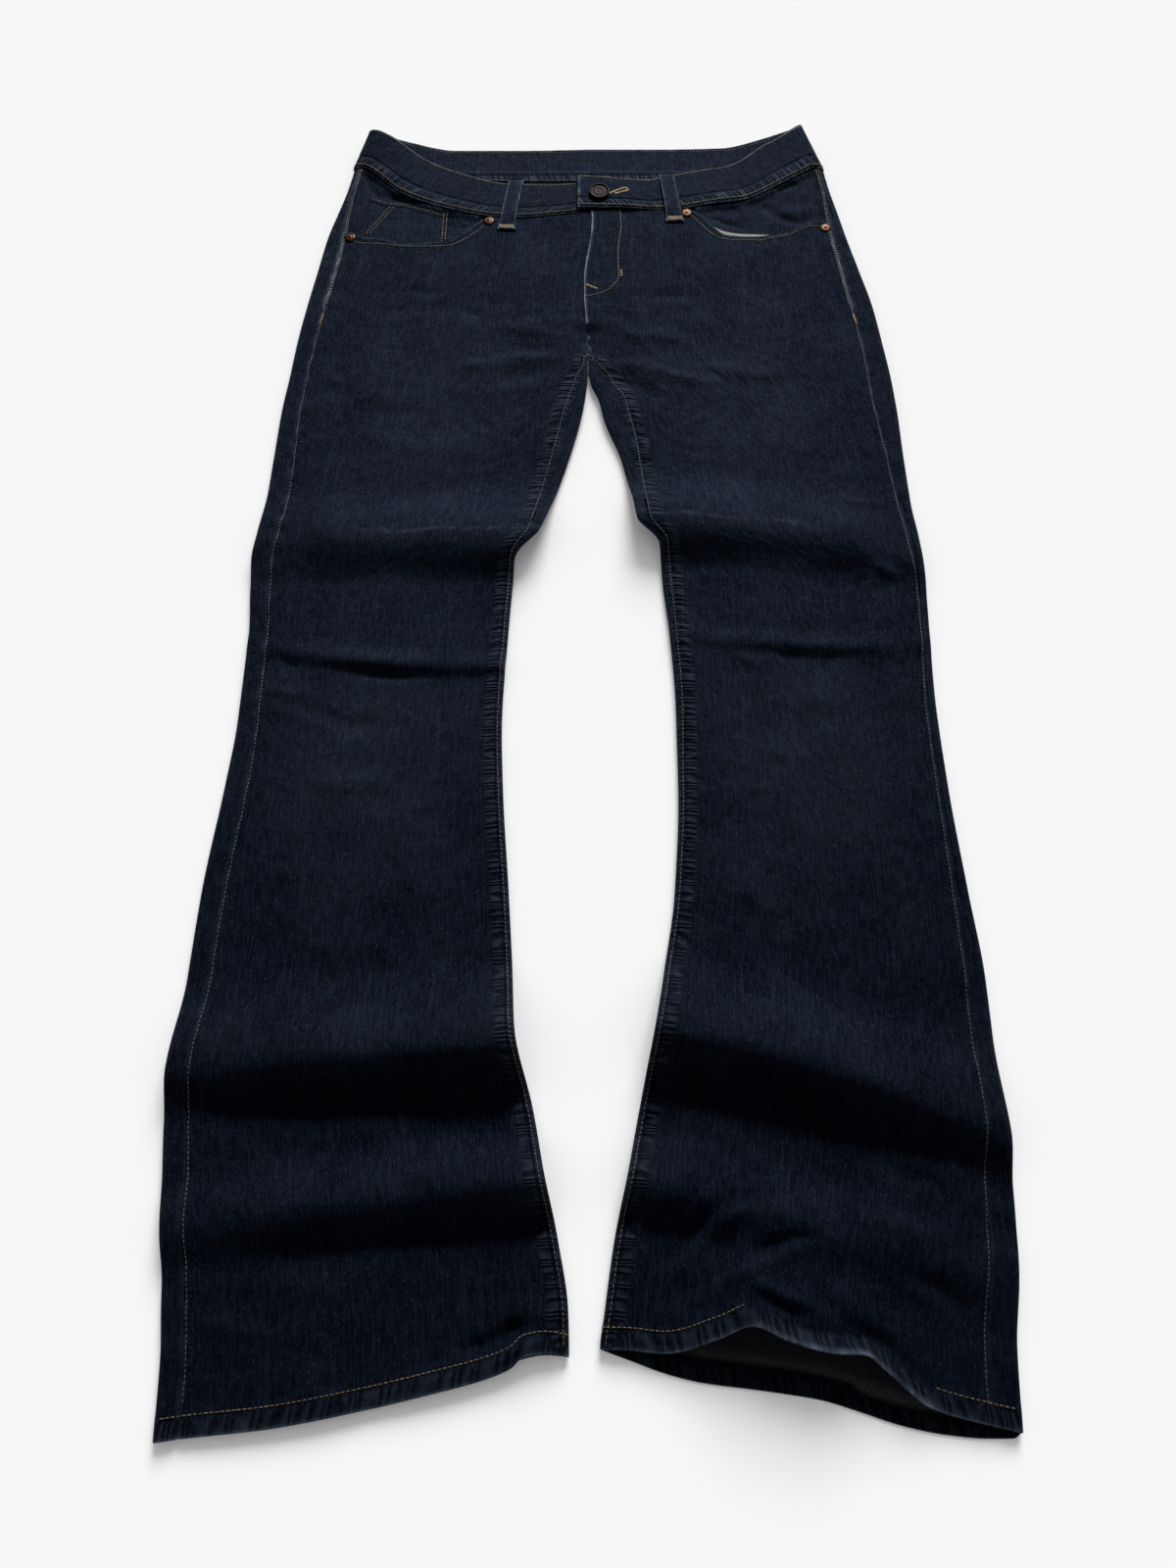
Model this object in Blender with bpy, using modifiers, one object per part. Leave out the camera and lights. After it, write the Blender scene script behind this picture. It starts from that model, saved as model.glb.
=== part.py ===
"""Low-rise bootcut jeans, laid flat on their back with the front side up.

Lengths in the tables are millimetres.  X is across the jeans (the wearer's
left is +X), Y runs from the hems up to the waist and Z is up; the jeans rest
on z = 0.  Left and right are the wearer's.  "Across" is the distance from the
middle line, so both legs are written with positive numbers.
"""
import math

import bmesh
import bpy
import numpy as np

MM = 0.001
GAP = 0.3                 # between pieces that meet at a seam or lie on each other

# ---- cloth thicknesses --------------------------------------------------------------------
WALL = 1.2                # denim panel
BAND_WALL = 2.2           # waistband, two layers and their turnings
LINING_WALL = 1.0         # pocket facing, coin pocket, pocket bag
PATCH_WALL = 1.5          # back pockets, belt loops, zip

# ---- how high the flat tube of cloth stands -------------------------------------------------
LEG_LOFT = 5.6            # outside to outside of the two layers in the legs
HIP_LOFT = 6.3            # the same at the hips, over the pockets' layers
BAND_LOFT = 7.8           # the same at the waistband
HIP_RISE_FROM, HIP_RISE_TO = 200.0, 380.0   # y between which the leg's loft becomes the hip's
CROTCH_LOFT = 4.4         # the two layers pressed together at the crotch
CROTCH_REACH = (24.0, 30.0)                 # how far across and along y that pressing is felt
EDGE_ROUND = 4.5          # how far in from a folded edge the rounding reaches
SEAT_LIFT = 1.8           # the seat lies on the back pockets and loops, clear of the floor
SEAT_FROM, SEAT_TO = 165.0, 240.0     # y where the seat has come down to the floor, and is up
CROTCH_Y = 245.0          # lowest point of the crotch seam, between the legs
FORK_Y = 270.0            # where both inseams meet the front seam
TUBE_END = 264.0          # the back layers wrap round the inner folds up to here
HEM_DEPTH = 13.0
HEM_EXTRA = 0.9           # the turned hem is thicker than one layer of denim

SIDES = {"right": -1, "left": 1}      # which way across points

# ---- plan of each leg, one row for each section ---------------------------------------------
# y, outer fold, outseam's inset from it, inseam's inset from the inner fold, inner fold
LEG_SECTIONS = {
    "right": (
        (-527, 247.5, 14.0, 5.4, 11.0), (-484, 249.5, 14.0, 5.4, 11.0),
        (-460, 252.5, 14.0, 5.4, 11.6), (-420, 257.0, 13.5, 5.4, 18.2),
        (-380, 263.0, 15.0, 5.4, 27.0), (-340, 266.5, 14.4, 5.4, 35.3),
        (-300, 265.2, 14.4, 5.4, 45.6), (-280, 264.3, 14.5, 5.4, 47.6),
        (-200, 261.9, 15.0, 5.4, 53.7), (-120, 255.4, 15.0, 5.4, 60.0),
        (-70, 252.5, 13.5, 5.4, 62.0), (0, 252.7, 13.0, 5.4, 59.4),
        (40, 256.0, 14.0, 5.4, 57.2), (62, 257.0, 15.0, 5.4, 55.5),
        (84, 254.5, 15.5, 10.5, 37.0), (120, 252.3, 16.0, 13.8, 27.0),
        (160, 251.0, 15.5, 16.4, 15.5), (200, 249.5, 14.0, 17.5, 5.8),
        (220, 248.0, 14.0, 16.0, 2.5), (240, 246.0, 13.5, 12.0, 0.6),
        (280, 243.0, 14.5, 0.0, 0.0), (320, 238.5, 15.0, 0.0, 0.0),
        (360, 233.0, 15.0, 0.0, 0.0), (400, 227.5, 13.0, 0.0, 0.0),
        (430, 220.5, 8.0, 0.0, 0.0), (455, 215.0, 5.0, 0.0, 0.0),
        (480, 211.0, 5.0, 0.0, 0.0)),
    "left": (
        (-524, 248.0, 19.0, 5.4, 7.0), (-480, 251.0, 18.0, 5.4, 7.0),
        (-460, 253.7, 18.3, 5.4, 9.8), (-420, 259.4, 17.4, 5.4, 16.0),
        (-380, 261.4, 15.7, 5.4, 24.7), (-340, 260.5, 13.3, 5.4, 33.0),
        (-300, 261.2, 13.0, 5.4, 41.2), (-260, 261.5, 12.5, 5.4, 49.0),
        (-200, 257.8, 9.6, 5.4, 58.8), (-120, 253.4, 7.0, 5.6, 63.5),
        (-60, 252.3, 6.5, 7.0, 63.6), (0, 254.5, 5.5, 7.4, 60.8),
        (40, 256.0, 6.0, 8.5, 57.0), (76, 254.3, 8.5, 8.5, 54.5),
        (94, 254.0, 9.0, 12.0, 37.5), (120, 253.1, 10.0, 12.8, 34.2),
        (160, 252.2, 12.8, 16.5, 26.7), (200, 251.7, 16.7, 23.5, 13.0),
        (220, 250.8, 18.0, 23.5, 8.8), (240, 249.7, 18.0, 20.0, 1.7),
        (280, 246.0, 17.0, 0.0, 0.0), (320, 241.6, 18.0, 0.0, 0.0),
        (360, 234.0, 15.5, 0.0, 0.0), (400, 226.0, 12.5, 0.0, 0.0),
        (430, 220.6, 8.5, 0.0, 0.0), (455, 216.0, 5.0, 0.0, 0.0),
        (480, 212.5, 5.0, 0.0, 0.0)),
}
OUTER, OUTSEAM, INSEAM, INNER = 1, 2, 3, 4          # columns of those rows

# ---- ridges where the legs buckle, one row for each -----------------------------------------
# crest y at the outer and inner fold, bow of the crest line; height at the outer fold, in the
# middle and at the inner fold; reach up the leg and down the leg; share the back layer takes
LEG_RIDGES = {
    "right": (
        (80, 80, 0, 9, 14, 17, 55, 20, 0.97),
        (-14, -32, -6, 2, 6, 4, 16, 10, 0.0),
        (-318, -303, 0, 12, 24, 26, 60, 34, 0.97),
        (-416, -386, 2, 7, 15, 19, 36, 28, 0.97)),
    "left": (
        (67, 95, 6, 9, 15, 18, 55, 22, 0.97),
        (-14, -2, -6, 3, 6, 2, 16, 10, 0.0),
        (-357, -294, 5, 12, 24, 26, 60, 34, 0.97),
        (-446, -384, 4, 4, 10, 14, 34, 28, 0.50)),
}

# ---- hems: across, y, how far that point stands off the floor ---------------------------------
FRONT_HEM = {
    "right": ((11, -483, 0), (25, -481, 2), (38, -483, 4), (45, -489, 2), (61, -495, 1),
              (94, -503, 0), (126, -510, 0), (183, -520, 0), (233, -525, 0), (247.5, -527, 0)),
    "left": ((7, -479, 0), (20, -479, 0), (45, -481, 3), (75, -473, 13), (94, -466, 20),
             (115, -474, 19), (140, -480, 19), (158, -481, 16), (171, -490, 9),
             (196, -509, 3), (229, -518, 0), (248, -522, 0)),
}
BACK_HEM = {
    "right": ((11, -483, 0), (25, -482, 0), (45, -486, 0), (94, -501, 0), (126, -508, 0),
              (183, -518, 0), (233, -525, 0), (247.5, -527, 0)),
    "left": ((7, -479, 0), (22, -484, 0), (46, -492, 0), (66, -496.5, 0), (100, -500.5, 0),
             (135, -505.5, 0), (155, -511, 0), (180, -518.5, 0), (204, -523, 0),
             (229, -525, 0), (243, -525, 0), (248, -522, 0)),
}
HEM_ARCH_REACH = 95.0     # how far up the leg the lifted hem is felt
HEM_ROWS = ((29.0, 0.65), (14.5, 1.0), (11.5, 1.0), (0.0, 1.0))   # above the hem, share of its shape
LEG_ROWS_END = 35.0       # how far above the hem the leg's other rows stop

# ---- waist: across, y -----------------------------------------------------------------------
WAIST_SEAM = {
    "right": ((-30, 432), (0, 430.4), (12, 426), (34, 423), (59, 420), (78, 421), (101, 425),
              (122, 431), (139, 437), (157, 445), (171, 454), (187, 470), (193, 476),
              (199, 480.5), (205, 482), (212, 481.5)),
    "left": ((-10, 430), (35, 429.5), (65, 430), (86, 432), (107, 437), (138, 442),
             (157, 452), (182, 468.5), (194, 476), (203, 481.5), (213, 481)),
}
BAND_TOP = {
    "right": ((-30, 462.5), (0, 462), (20, 460.3), (36, 459.5), (57, 460), (73, 461), (88, 464),
              (105, 470.5), (119, 476), (130, 481), (140, 486), (150, 492), (160, 500),
              (172, 510), (181, 516), (190, 521), (199, 523)),
    "left": ((-10, 468.5), (10, 467.5), (36, 464), (52, 465), (66, 469), (80, 472.5), (96, 477),
             (110, 480), (119, 481.5), (127, 484), (136, 488), (145, 495), (152, 501),
             (159, 506.5), (167, 510), (176, 516.5), (184, 522.5), (190, 527.3), (195, 531)),
}
BACK_SEAM = {"right": ((0, 468), (110, 468), (160, 471), (212, 481.5)),
             "left": ((0, 468), (110, 468), (160, 471), (213, 481))}
BACK_TOP = {"right": ((0, 509.5), (60, 508), (120, 508), (160, 513.5), (199, 523)),
            "left": ((0, 509.5), (60, 509.5), (120, 511), (160, 519), (195, 531))}
YOKE_SEAM = ((0, 398), (100, 411), (190, 434), (222, 441))
BAND_FOLD = {"right": (212, 199), "left": (213, 195)}     # side fold at the seam and at the top
BAND_FOLD_ROUND = 6.0
BAND_ENDS = {"right": -24.0, "left": -9.0}                # across: both ends pass the middle
OVERLAP_RISE = BAND_WALL + GAP                            # the left end lies on the right one
OVERLAP_FROM, OVERLAP_TO = 62.0, 28.0                     # across, where it climbs
TIP_LIFT = 6.0            # how far the band's top stands up at the side folds
TIP_FROM, TIP_TO = 120.0, 190.0

# ---- front pockets: the opening's edge, across and y -------------------------------------------
POCKET_EDGE = {
    "right": ((88, 422), (95, 416), (103, 408), (112, 400), (121, 393.5), (133, 392),
              (150, 390), (162, 389.5), (170, 392), (180, 395.5), (188, 396.5), (196, 396.5),
              (202, 400), (208, 403.5), (214, 405)),
    "left": ((88, 432), (95, 427.5), (102, 419.5), (111, 408), (118, 400.8), (126, 398.8),
             (145, 398.3), (160, 400.5), (172, 403), (178, 405), (184, 410), (192, 413),
             (200, 416), (207, 417), (214, 415)),
}
FACING_DEPTH = 2.8        # how far the facing lies under the front's surface
FACING_RISE = 8.5         # how near to the waist seam and outseam it comes up to them
FACING_TUCK = 14.0        # how far it goes down behind the opening
FACING_LIP = 3.0          # width of its strip beside the outseam
FACING_CLEAR = 1.2        # between that strip and the outseam
COIN_POCKET = ((123, 421.5, 384), (138, 425.5, 382), (152, 430.5, 380), (163, 434.5, 380),
               (176, 435.5, 380), (194, 442, 384))          # across, top y, bottom y
BAG = ((106, 415, 380), (118, 407, 365), (132, 404, 362), (146, 403.5, 365),
       (162, 402.3, 380))                                 # across, top y, bottom y
BAG_DEPTH = WALL + GAP

# ---- small pieces -----------------------------------------------------------------------------
LOOP_WIDTH = 12.0
LOOP_ARCH = 0.9           # how far a front loop bows out
LOOP_OFF_BAND = 0.66      # share of its length where it leaves the band
FRONT_LOOPS = {"right": ((64, 463.5), (71.5, 405)), "left": ((70, 471), (76.5, 415))}
BACK_LOOPS = {"right": -115.0, "centre": 0.0, "left": 115.0}
BACK_LOOP_ENDS = (456.0, 506.0)
BACK_POCKET = {"middle": 98.0, "top": 388.0, "bottom": 262.0, "point": 11.0,
               "half_top": 69.0, "half_bottom": 60.0}
ZIP = {"half_width": 13.0, "top": 420.0, "bottom": 344.0, "depth": WALL + GAP}
BUTTON = {"x": 10.0, "y": 446.0, "radius": 9.3, "head": 2.4, "dish": 0.8, "shank": 2.1}
BUTTONHOLE = {"from": 6.6, "to": 33.0, "width": 5.6}
RIVET_RADIUS, RIVET_HEIGHT = 4.6, 1.6
RIVETS = {"rivet_right_outer": ("right", 207.5, 396), "rivet_right_inner": ("right", 87, 415.5),
          "rivet_left_inner": ("left", 87, 425), "rivet_left_outer": ("left", 208, 407)}

# ---- grids --------------------------------------------------------------------------------------
PLAIN_ROWS = ((352, 352), (316, 316), (286, 286), (267, 267), (262, 262), (254, 254), (246, 246),
              (238, 238), (226, 226), (208, 208), (186, 186), (160, 160), (34, 34), (8, 8),
              (-52, -52), (-92, -92), (-140, -140), (-190, -190), (-221, -231),
              (-472, -420))                    # y at the outer and the inner fold
ROW_SPACE = 3.5           # the least distance between two rows
RIDGE_STEPS = (1.0, 0.6, 0.25, 0.0, -0.4, -0.75, -1.1)    # rows, in reaches up and down a ridge
HIP_OUTSEAM = 213.5
HIP_STATIONS = (199.0, 185.0, 170.0, 154.0, 138.0, 124.0, 112.0, 102.0, 95.0, 88.0, 60.0, 30.0)
FRONT_TOP_STEPS = (0.0, 0.3, 0.65)                        # rows from the pocket edge to the legs
BOTTOM_COLUMNS = (0.15, 0.32, 0.5, 0.68, 0.86, 1.0)       # shares of the underside
FOLD_ANGLES = (90, 45, 0, -45, -90)                       # round a folded edge, degrees
BAND_ANGLES = (60, 30, 0, -30, -60, -90)
BAND_BACK_SPANS = 6
FACING_STEPS = (0.0, 0.12, 0.26, 0.45, 0.72, 1.0)         # rows from the waist seam down
LOOP_STEPS = (0.0, 0.12, 0.35, 0.55, 0.72, 0.88, 1.0)     # rows from a front loop's top down

COLOURS = {
    "denim": ((0.010, 0.014, 0.030), 0.85, 0.0),
    "lining": ((0.62, 0.61, 0.58), 0.9, 0.0),
    "copper": ((0.30, 0.13, 0.07), 0.35, 1.0),
    "bronze": ((0.07, 0.05, 0.04), 0.40, 1.0),
    "zip_tape": ((0.015, 0.017, 0.03), 0.8, 0.0),
}


# ---- curves and surfaces -------------------------------------------------------------------------
def smooth(table, column, at):
    """Monotone cubic through one column of a table, whose first column says where."""
    place = np.array([row[0] for row in table], dtype=float)
    value = np.array([row[column] for row in table], dtype=float)
    step = np.diff(place)
    rate = np.diff(value) / step
    same_way = rate[:-1] * rate[1:] > 0
    total = np.where(same_way, rate[:-1] + rate[1:], 1.0)
    between = np.where(same_way, 2 * rate[:-1] * rate[1:] / total, 0.0)
    slope = np.concatenate(([rate[0]], between, [rate[-1]]))
    where = float(min(max(at, place[0]), place[-1]))
    i = int(min(np.searchsorted(place, where, side="right") - 1, len(step) - 1))
    t = (where - place[i]) / step[i]
    return float(value[i] * (1 + 2 * t) * (1 - t) ** 2 + slope[i] * step[i] * t * (1 - t) ** 2
                 + value[i + 1] * t * t * (3 - 2 * t) + slope[i + 1] * step[i] * t * t * (t - 1))


def ease(t):
    """0 to 1 with flat ends."""
    t = min(max(t, 0.0), 1.0)
    return t * t * (3 - 2 * t)


def three_way(share, outer, middle, inner):
    """From the outer value through the middle one to the inner one."""
    if share < 0.5:
        return outer + (middle - outer) * ease(2 * share)
    return middle + (inner - middle) * ease(2 * share - 1)


def ridge_lift(side, share, y, back=False):
    """Height that the leg's ridges add; share is 0 at the outer fold and 1 at the inner one."""
    lift = 0.0
    for outer_y, inner_y, bow, high_out, high_mid, high_in, up, down, of_back in LEG_RIDGES[side]:
        crest = outer_y + (inner_y - outer_y) * share + bow * 4 * share * (1 - share)
        away = (y - crest) / (up if y > crest else down)
        if abs(away) < 1:
            bump = 0.5 + 0.5 * math.cos(math.pi * away)
            lift += three_way(share, high_out, high_mid, high_in) * bump * (of_back if back else 1)
    return lift


def seat(y):
    """Height of the lower layer's outside."""
    return SEAT_LIFT * ease((y - SEAT_FROM) / (SEAT_TO - SEAT_FROM))


def loft(across, y):
    """Outside to outside of the two layers where they lie flat."""
    at_hip = ease((y - HIP_RISE_FROM) / (HIP_RISE_TO - HIP_RISE_FROM))
    full = LEG_LOFT + (HIP_LOFT - LEG_LOFT) * at_hip
    wide, long = CROTCH_REACH
    near = math.exp(-(across / wide) ** 2 - ((y - CROTCH_Y) / long) ** 2)
    return full + (CROTCH_LOFT - full) * near


class Row:
    """One line of a leg's grid: straight in plan from the outer fold to the inner fold."""

    def __init__(self, side, outer_y, inner_y, hem=None, hem_share=0.0):
        self.side, self.outer_y, self.inner_y = side, outer_y, inner_y
        self.hem, self.hem_share = hem, hem_share
        sections = LEG_SECTIONS[side]
        self.outer = smooth(sections, OUTER, outer_y)
        self.outseam = self.outer - smooth(sections, OUTSEAM, outer_y)
        self.split = inner_y < TUBE_END
        self.inner = self.inseam = GAP / 2
        if inner_y < CROTCH_Y:
            self.inner = smooth(sections, INNER, inner_y)
        if self.split:
            leg_y = min(inner_y, CROTCH_Y)
            to_fork = max(inner_y - CROTCH_Y, 0.0) / (FORK_Y - CROTCH_Y)
            wrapped = smooth(sections, INNER, leg_y) + smooth(sections, INSEAM, leg_y)
            self.inseam = max((1 - to_fork) * wrapped, self.inner + EDGE_ROUND + 3 * GAP)

    def share(self, across):
        return (self.outer - across) / (self.outer - self.inner)

    def y(self, across):
        straight = self.outer_y + (self.inner_y - self.outer_y) * self.share(across)
        if not self.hem_share:
            return straight
        return straight + (smooth(self.hem, 1, across) - straight) * self.hem_share

    def height(self, across, top):
        """Outside of the top or the bottom layer, rounded down at the folded edges."""
        y, share = self.y(across), min(max(self.share(across), 0.0), 1.0)
        over, under = ridge_lift(self.side, share, y), ridge_lift(self.side, share, y, True)
        low = seat(y) + under
        high = seat(y) + loft(across, y) + over
        edge = self.outer - across
        if self.split:
            edge = min(edge, across - self.inner)
        round_in = 1 - min(max(edge, 0.0) / EDGE_ROUND, 1.0)
        full = math.sqrt(max(0.0, 1 - round_in ** 2))
        middle = (low + high) / 2
        return middle + (high - middle) * full if top else middle - (middle - low) * full


def leg_rows(side, hem):
    """Rows from the hip to the hem: plain ones, and a set at each ridge."""
    lines = list(PLAIN_ROWS)
    for outer_y, inner_y, _, _, _, _, up, down, _ in LEG_RIDGES[side]:
        for step in RIDGE_STEPS:
            shift = step * (up if step > 0 else down)
            lines.append((outer_y + shift, inner_y + shift))
    lines.sort(key=sum, reverse=True)
    rows = [Row(side, *line) for line in fan_out(lines, hem)]
    end = (smooth(hem, 1, 1e9), smooth(hem, 1, -1e9))
    for above, share in HEM_ROWS:
        rows.append(Row(side, end[0] + above, end[1] + above,
                        [(across, y + above) for across, y, _ in hem], share))
    return rows


def fan_out(lines, hem):
    """Drops rows that come too near the one above and stops short of the hem's own rows."""
    kept = []
    for line in lines:
        if not kept or min(kept[-1][0] - line[0], kept[-1][1] - line[1]) > ROW_SPACE:
            kept.append(line)
    limit = (smooth(hem, 1, 1e9) + LEG_ROWS_END, smooth(hem, 1, -1e9) + LEG_ROWS_END)
    return [line for line in kept if line[0] > limit[0] and line[1] > limit[1]]


# ---- making pieces ---------------------------------------------------------------------------------
def material(name):
    made = bpy.data.materials.get(name)
    if made is None:
        colour, rough, metal = COLOURS[name]
        made = bpy.data.materials.new(name)
        made.use_nodes = True
        shader = made.node_tree.nodes["Principled BSDF"]
        shader.inputs["Base Color"].default_value = (*colour, 1)
        shader.inputs["Roughness"].default_value = rough
        shader.inputs["Metallic"].default_value = metal
    return made


def keep(name, mesh, finish):
    """A new object in the jeans' collection, with its material."""
    mesh.materials.append(material(finish))
    piece = bpy.data.objects.new(name, mesh)
    bpy.data.collections["jeans"].objects.link(piece)
    return piece


def lay_grid(bm, rows):
    """A grid of faces through rows of points; returns the row of each vertex."""
    last_column, last_row = len(rows[0]) - 1, len(rows) - 1
    made = bmesh.ops.create_grid(bm, x_segments=last_column, y_segments=last_row, size=0.5)
    row_of = []
    for vert in made["verts"]:
        column = round((vert.co.x + 0.5) * last_column)
        row = round((0.5 - vert.co.y) * last_row)
        vert.co = [value * MM for value in rows[row][column]]
        row_of.append(row)
    return row_of


def cloth(name, rows, wall, finish="denim", facing_up=True, hem_rows=0, hem_wall=None,
          sewn_on=None):
    """An open grid of cloth through rows of points, given its wall on the inner side."""
    bm = bmesh.new()
    row_of = lay_grid(bm, rows)
    thick = [hem_wall is not None and row > len(rows) - 1 - hem_rows for row in row_of]
    if sewn_on:
        lay_grid(bm, sewn_on)
        bmesh.ops.remove_doubles(bm, verts=bm.verts[:], dist=GAP * MM / 1000)
    if not facing_up:
        bmesh.ops.reverse_faces(bm, faces=bm.faces[:])
    mesh = bpy.data.meshes.new(name)
    bm.to_mesh(mesh)
    bm.free()
    piece = keep(name, mesh, finish)
    shell = piece.modifiers.new("wall", "SOLIDIFY")
    shell.thickness = (hem_wall or wall) * MM
    shell.offset = -1
    if hem_wall:
        group = piece.vertex_groups.new(name="thickness")
        for index, is_hem in enumerate(thick):
            group.add([index], 1.0 if is_hem else wall / hem_wall, "REPLACE")
        shell.vertex_group = group.name
    return piece


def panel_top(side, across):
    """Top of the front panel: the waist seam, and past its inner end the pocket's edge."""
    at_seam = across <= HIP_STATIONS[-3]
    return smooth(WAIST_SEAM[side] if at_seam else POCKET_EDGE[side], 1, across)


def front_columns(outseam, inner):
    """Across of a row's columns, spread as the stations are at the hip."""
    hip = HIP_OUTSEAM
    shares = [0.0] + [(hip - station) / hip for station in HIP_STATIONS] + [1.0]
    return [outseam + (inner - outseam) * share for share in shares]


def front_panel(side):
    """The leg's front, from the pocket edge and waist seam down to the hem."""
    sign, hem, sections = SIDES[side], FRONT_HEM[side], LEG_SECTIONS[side]
    corner = POCKET_EDGE[side][-1][1] - GAP / 2
    legs = leg_rows(side, hem)
    rows = []
    for down in FRONT_TOP_STEPS:
        line = []
        side_y = corner + (legs[0].outer_y - corner) * down
        outseam = smooth(sections, OUTER, side_y) - smooth(sections, OUTSEAM, side_y) - GAP / 2
        for across in front_columns(outseam, GAP / 2):
            y = panel_top(side, across) - GAP / 2
            y += (legs[0].y(across) - y) * down
            line.append((sign * across, y, front_surface(side, across, y)))
        rows.append(line)
    for row in legs:
        line = []
        inner = row.inseam + (GAP / 2 if row.split else 0)
        for across in front_columns(row.outseam - GAP / 2, inner):
            y = row.y(across)
            height = row.height(across, True) + hem_lift(hem, across, y)
            in_hem = row.hem_share == 1 and y < smooth(hem, 1, across) + HEM_DEPTH
            line.append((sign * across, y, height + HEM_EXTRA * in_hem))
        rows.append(line)
    return cloth("front_" + side, rows, WALL, facing_up=sign < 0, hem_rows=2,
                 hem_wall=WALL + HEM_EXTRA)


def hem_lift(hem, across, y):
    """Extra height where the front hem stands open."""
    at_edge = smooth(hem, 2, across)
    return at_edge * (1 - ease((y - smooth(hem, 1, across)) / HEM_ARCH_REACH))


def section(row, sign, places, y_under, y_on_top):
    """Points of a row, from their distance across and whether each is on the top layer."""
    return [(sign * across, (y_on_top if top else y_under)(across), row.height(across, top))
            for across, top in places]


def under_section(row, sign, y_under, y_on_top):
    """Points round the back layer: outseam, outer fold, underside to the centre or inner fold."""
    start, end = row.outer - EDGE_ROUND, row.inner + EDGE_ROUND if row.split else GAP / 2
    places = [(row.outseam + GAP / 2, True), ((row.outseam + start) / 2, True)]
    for angle in FOLD_ANGLES:
        places.append((row.outer - EDGE_ROUND * (1 - math.cos(math.radians(angle))), angle >= 0))
    for share in BOTTOM_COLUMNS:
        places.append((start + (end - start) * share, False))
    return section(row, sign, places, y_under, y_on_top)


def inner_section(row, upper, sign):
    """Points on from the underside, round the inner fold, to the inseam."""
    places = []
    for angle in reversed(FOLD_ANGLES):
        places.append((row.inner + EDGE_ROUND * (1 - math.cos(math.radians(angle))), angle > 0))
    places.append((row.inseam - GAP / 2, True))
    return section(row, sign, places, row.y, upper.y)


def back_panel(side):
    """The leg's back, wrapped round both folded edges up to the seams on the front."""
    sign = SIDES[side]
    legs, uppers = leg_rows(side, BACK_HEM[side]), leg_rows(side, FRONT_HEM[side])
    rows = []
    corner = POCKET_EDGE[side][-1][1] - GAP / 2
    top = YOKE_SEAM[-1][1]
    for down in (0.0, (top - corner) / (top - legs[0].outer_y)):
        level = top + (legs[0].outer_y - top) * down
        row = Row(side, level, level)

        def seam_y(across):
            top = smooth(YOKE_SEAM, 1, across) - GAP / 2
            return top + (legs[0].y(across) - top) * down

        rows.append(under_section(row, sign, seam_y, seam_y))
    pairs = list(zip(legs, uppers))
    rows += [under_section(row, sign, row.y, upper.y) for row, upper in pairs]
    wrap = [inner_section(row, upper, sign) for row, upper in pairs if row.split]
    return cloth("back_" + side, rows, WALL, facing_up=sign > 0, sewn_on=wrap)


def yoke(side):
    """Shaped piece between the back panel and the waistband, round the hip to the outseam."""
    sign = SIDES[side]
    rows = []
    outer_top, outer_low = BACK_SEAM[side][-1][1], YOKE_SEAM[-1][1]
    for down in (0.0, 0.35, 0.7, 1.0):
        level = outer_top + (outer_low - outer_top) * down
        row = Row(side, level, level)

        def seam_y(across):
            top = smooth(BACK_SEAM[side], 1, across) - 2 * GAP
            low = smooth(YOKE_SEAM, 1, across) + GAP / 2
            return top + (low - top) * down

        rows.append(under_section(row, sign, seam_y, seam_y))
    return cloth("yoke_" + side, rows, WALL, facing_up=sign > 0)


def front_surface(side, across, y):
    """Height of the front's outside at a place above the crotch."""
    row = Row(side, y, y)
    return row.height(min(across, row.outer - EDGE_ROUND), True)


def facing_depth(side, across, y):
    """The facing lies deep behind the opening and comes up to the waist seam and the outseam."""
    row = Row(side, y, y)
    from_waist = ease((smooth(WAIST_SEAM[side], 1, across) - y) / FACING_RISE)
    from_side = ease((row.outseam - across) / FACING_RISE)
    return FACING_DEPTH * from_waist * from_side


def pocket_facing(side):
    """Denim behind the pocket opening, out to the outseam and up to the waist seam."""
    sign = SIDES[side]
    at_seam = BAND_FOLD[side][0] - BAND_FOLD_ROUND
    corner = POCKET_EDGE[side][-1][0]
    rows = []
    for down in FACING_STEPS:
        line = []
        for station in (corner, at_seam) + HIP_STATIONS[:9]:
            top = smooth(WAIST_SEAM[side], 1, min(station, at_seam)) - 3 * GAP
            low = smooth(POCKET_EDGE[side], 1, station) + 1
            low -= (FACING_TUCK + 1) * ease((at_seam - station) / FACING_RISE)
            y = top + (low - top) * down
            edge = Row(side, y, y).outseam - FACING_CLEAR
            across = edge if station == corner else min(station, edge - FACING_LIP)
            height = front_surface(side, across, y) - facing_depth(side, across, y)
            line.append((sign * across, y, height))
        rows.append(line)
    return cloth("pocket_facing_" + side, rows, LINING_WALL, facing_up=sign < 0)


def patch_under(name, side, outline, depth, finish):
    """A flat piece between the facing and the front; outline is across, top y, bottom y."""
    sign = SIDES[side]
    rows = []
    for down in (0.0, 0.3, 0.6, 1.0):
        line = []
        for across, top, low in outline:
            y = top + (low - top) * down
            under = depth(across, y)
            line.append((sign * across, y, front_surface(side, across, y) - under))
        rows.append(line)
    return cloth(name, rows, LINING_WALL, finish, facing_up=sign > 0)


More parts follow.
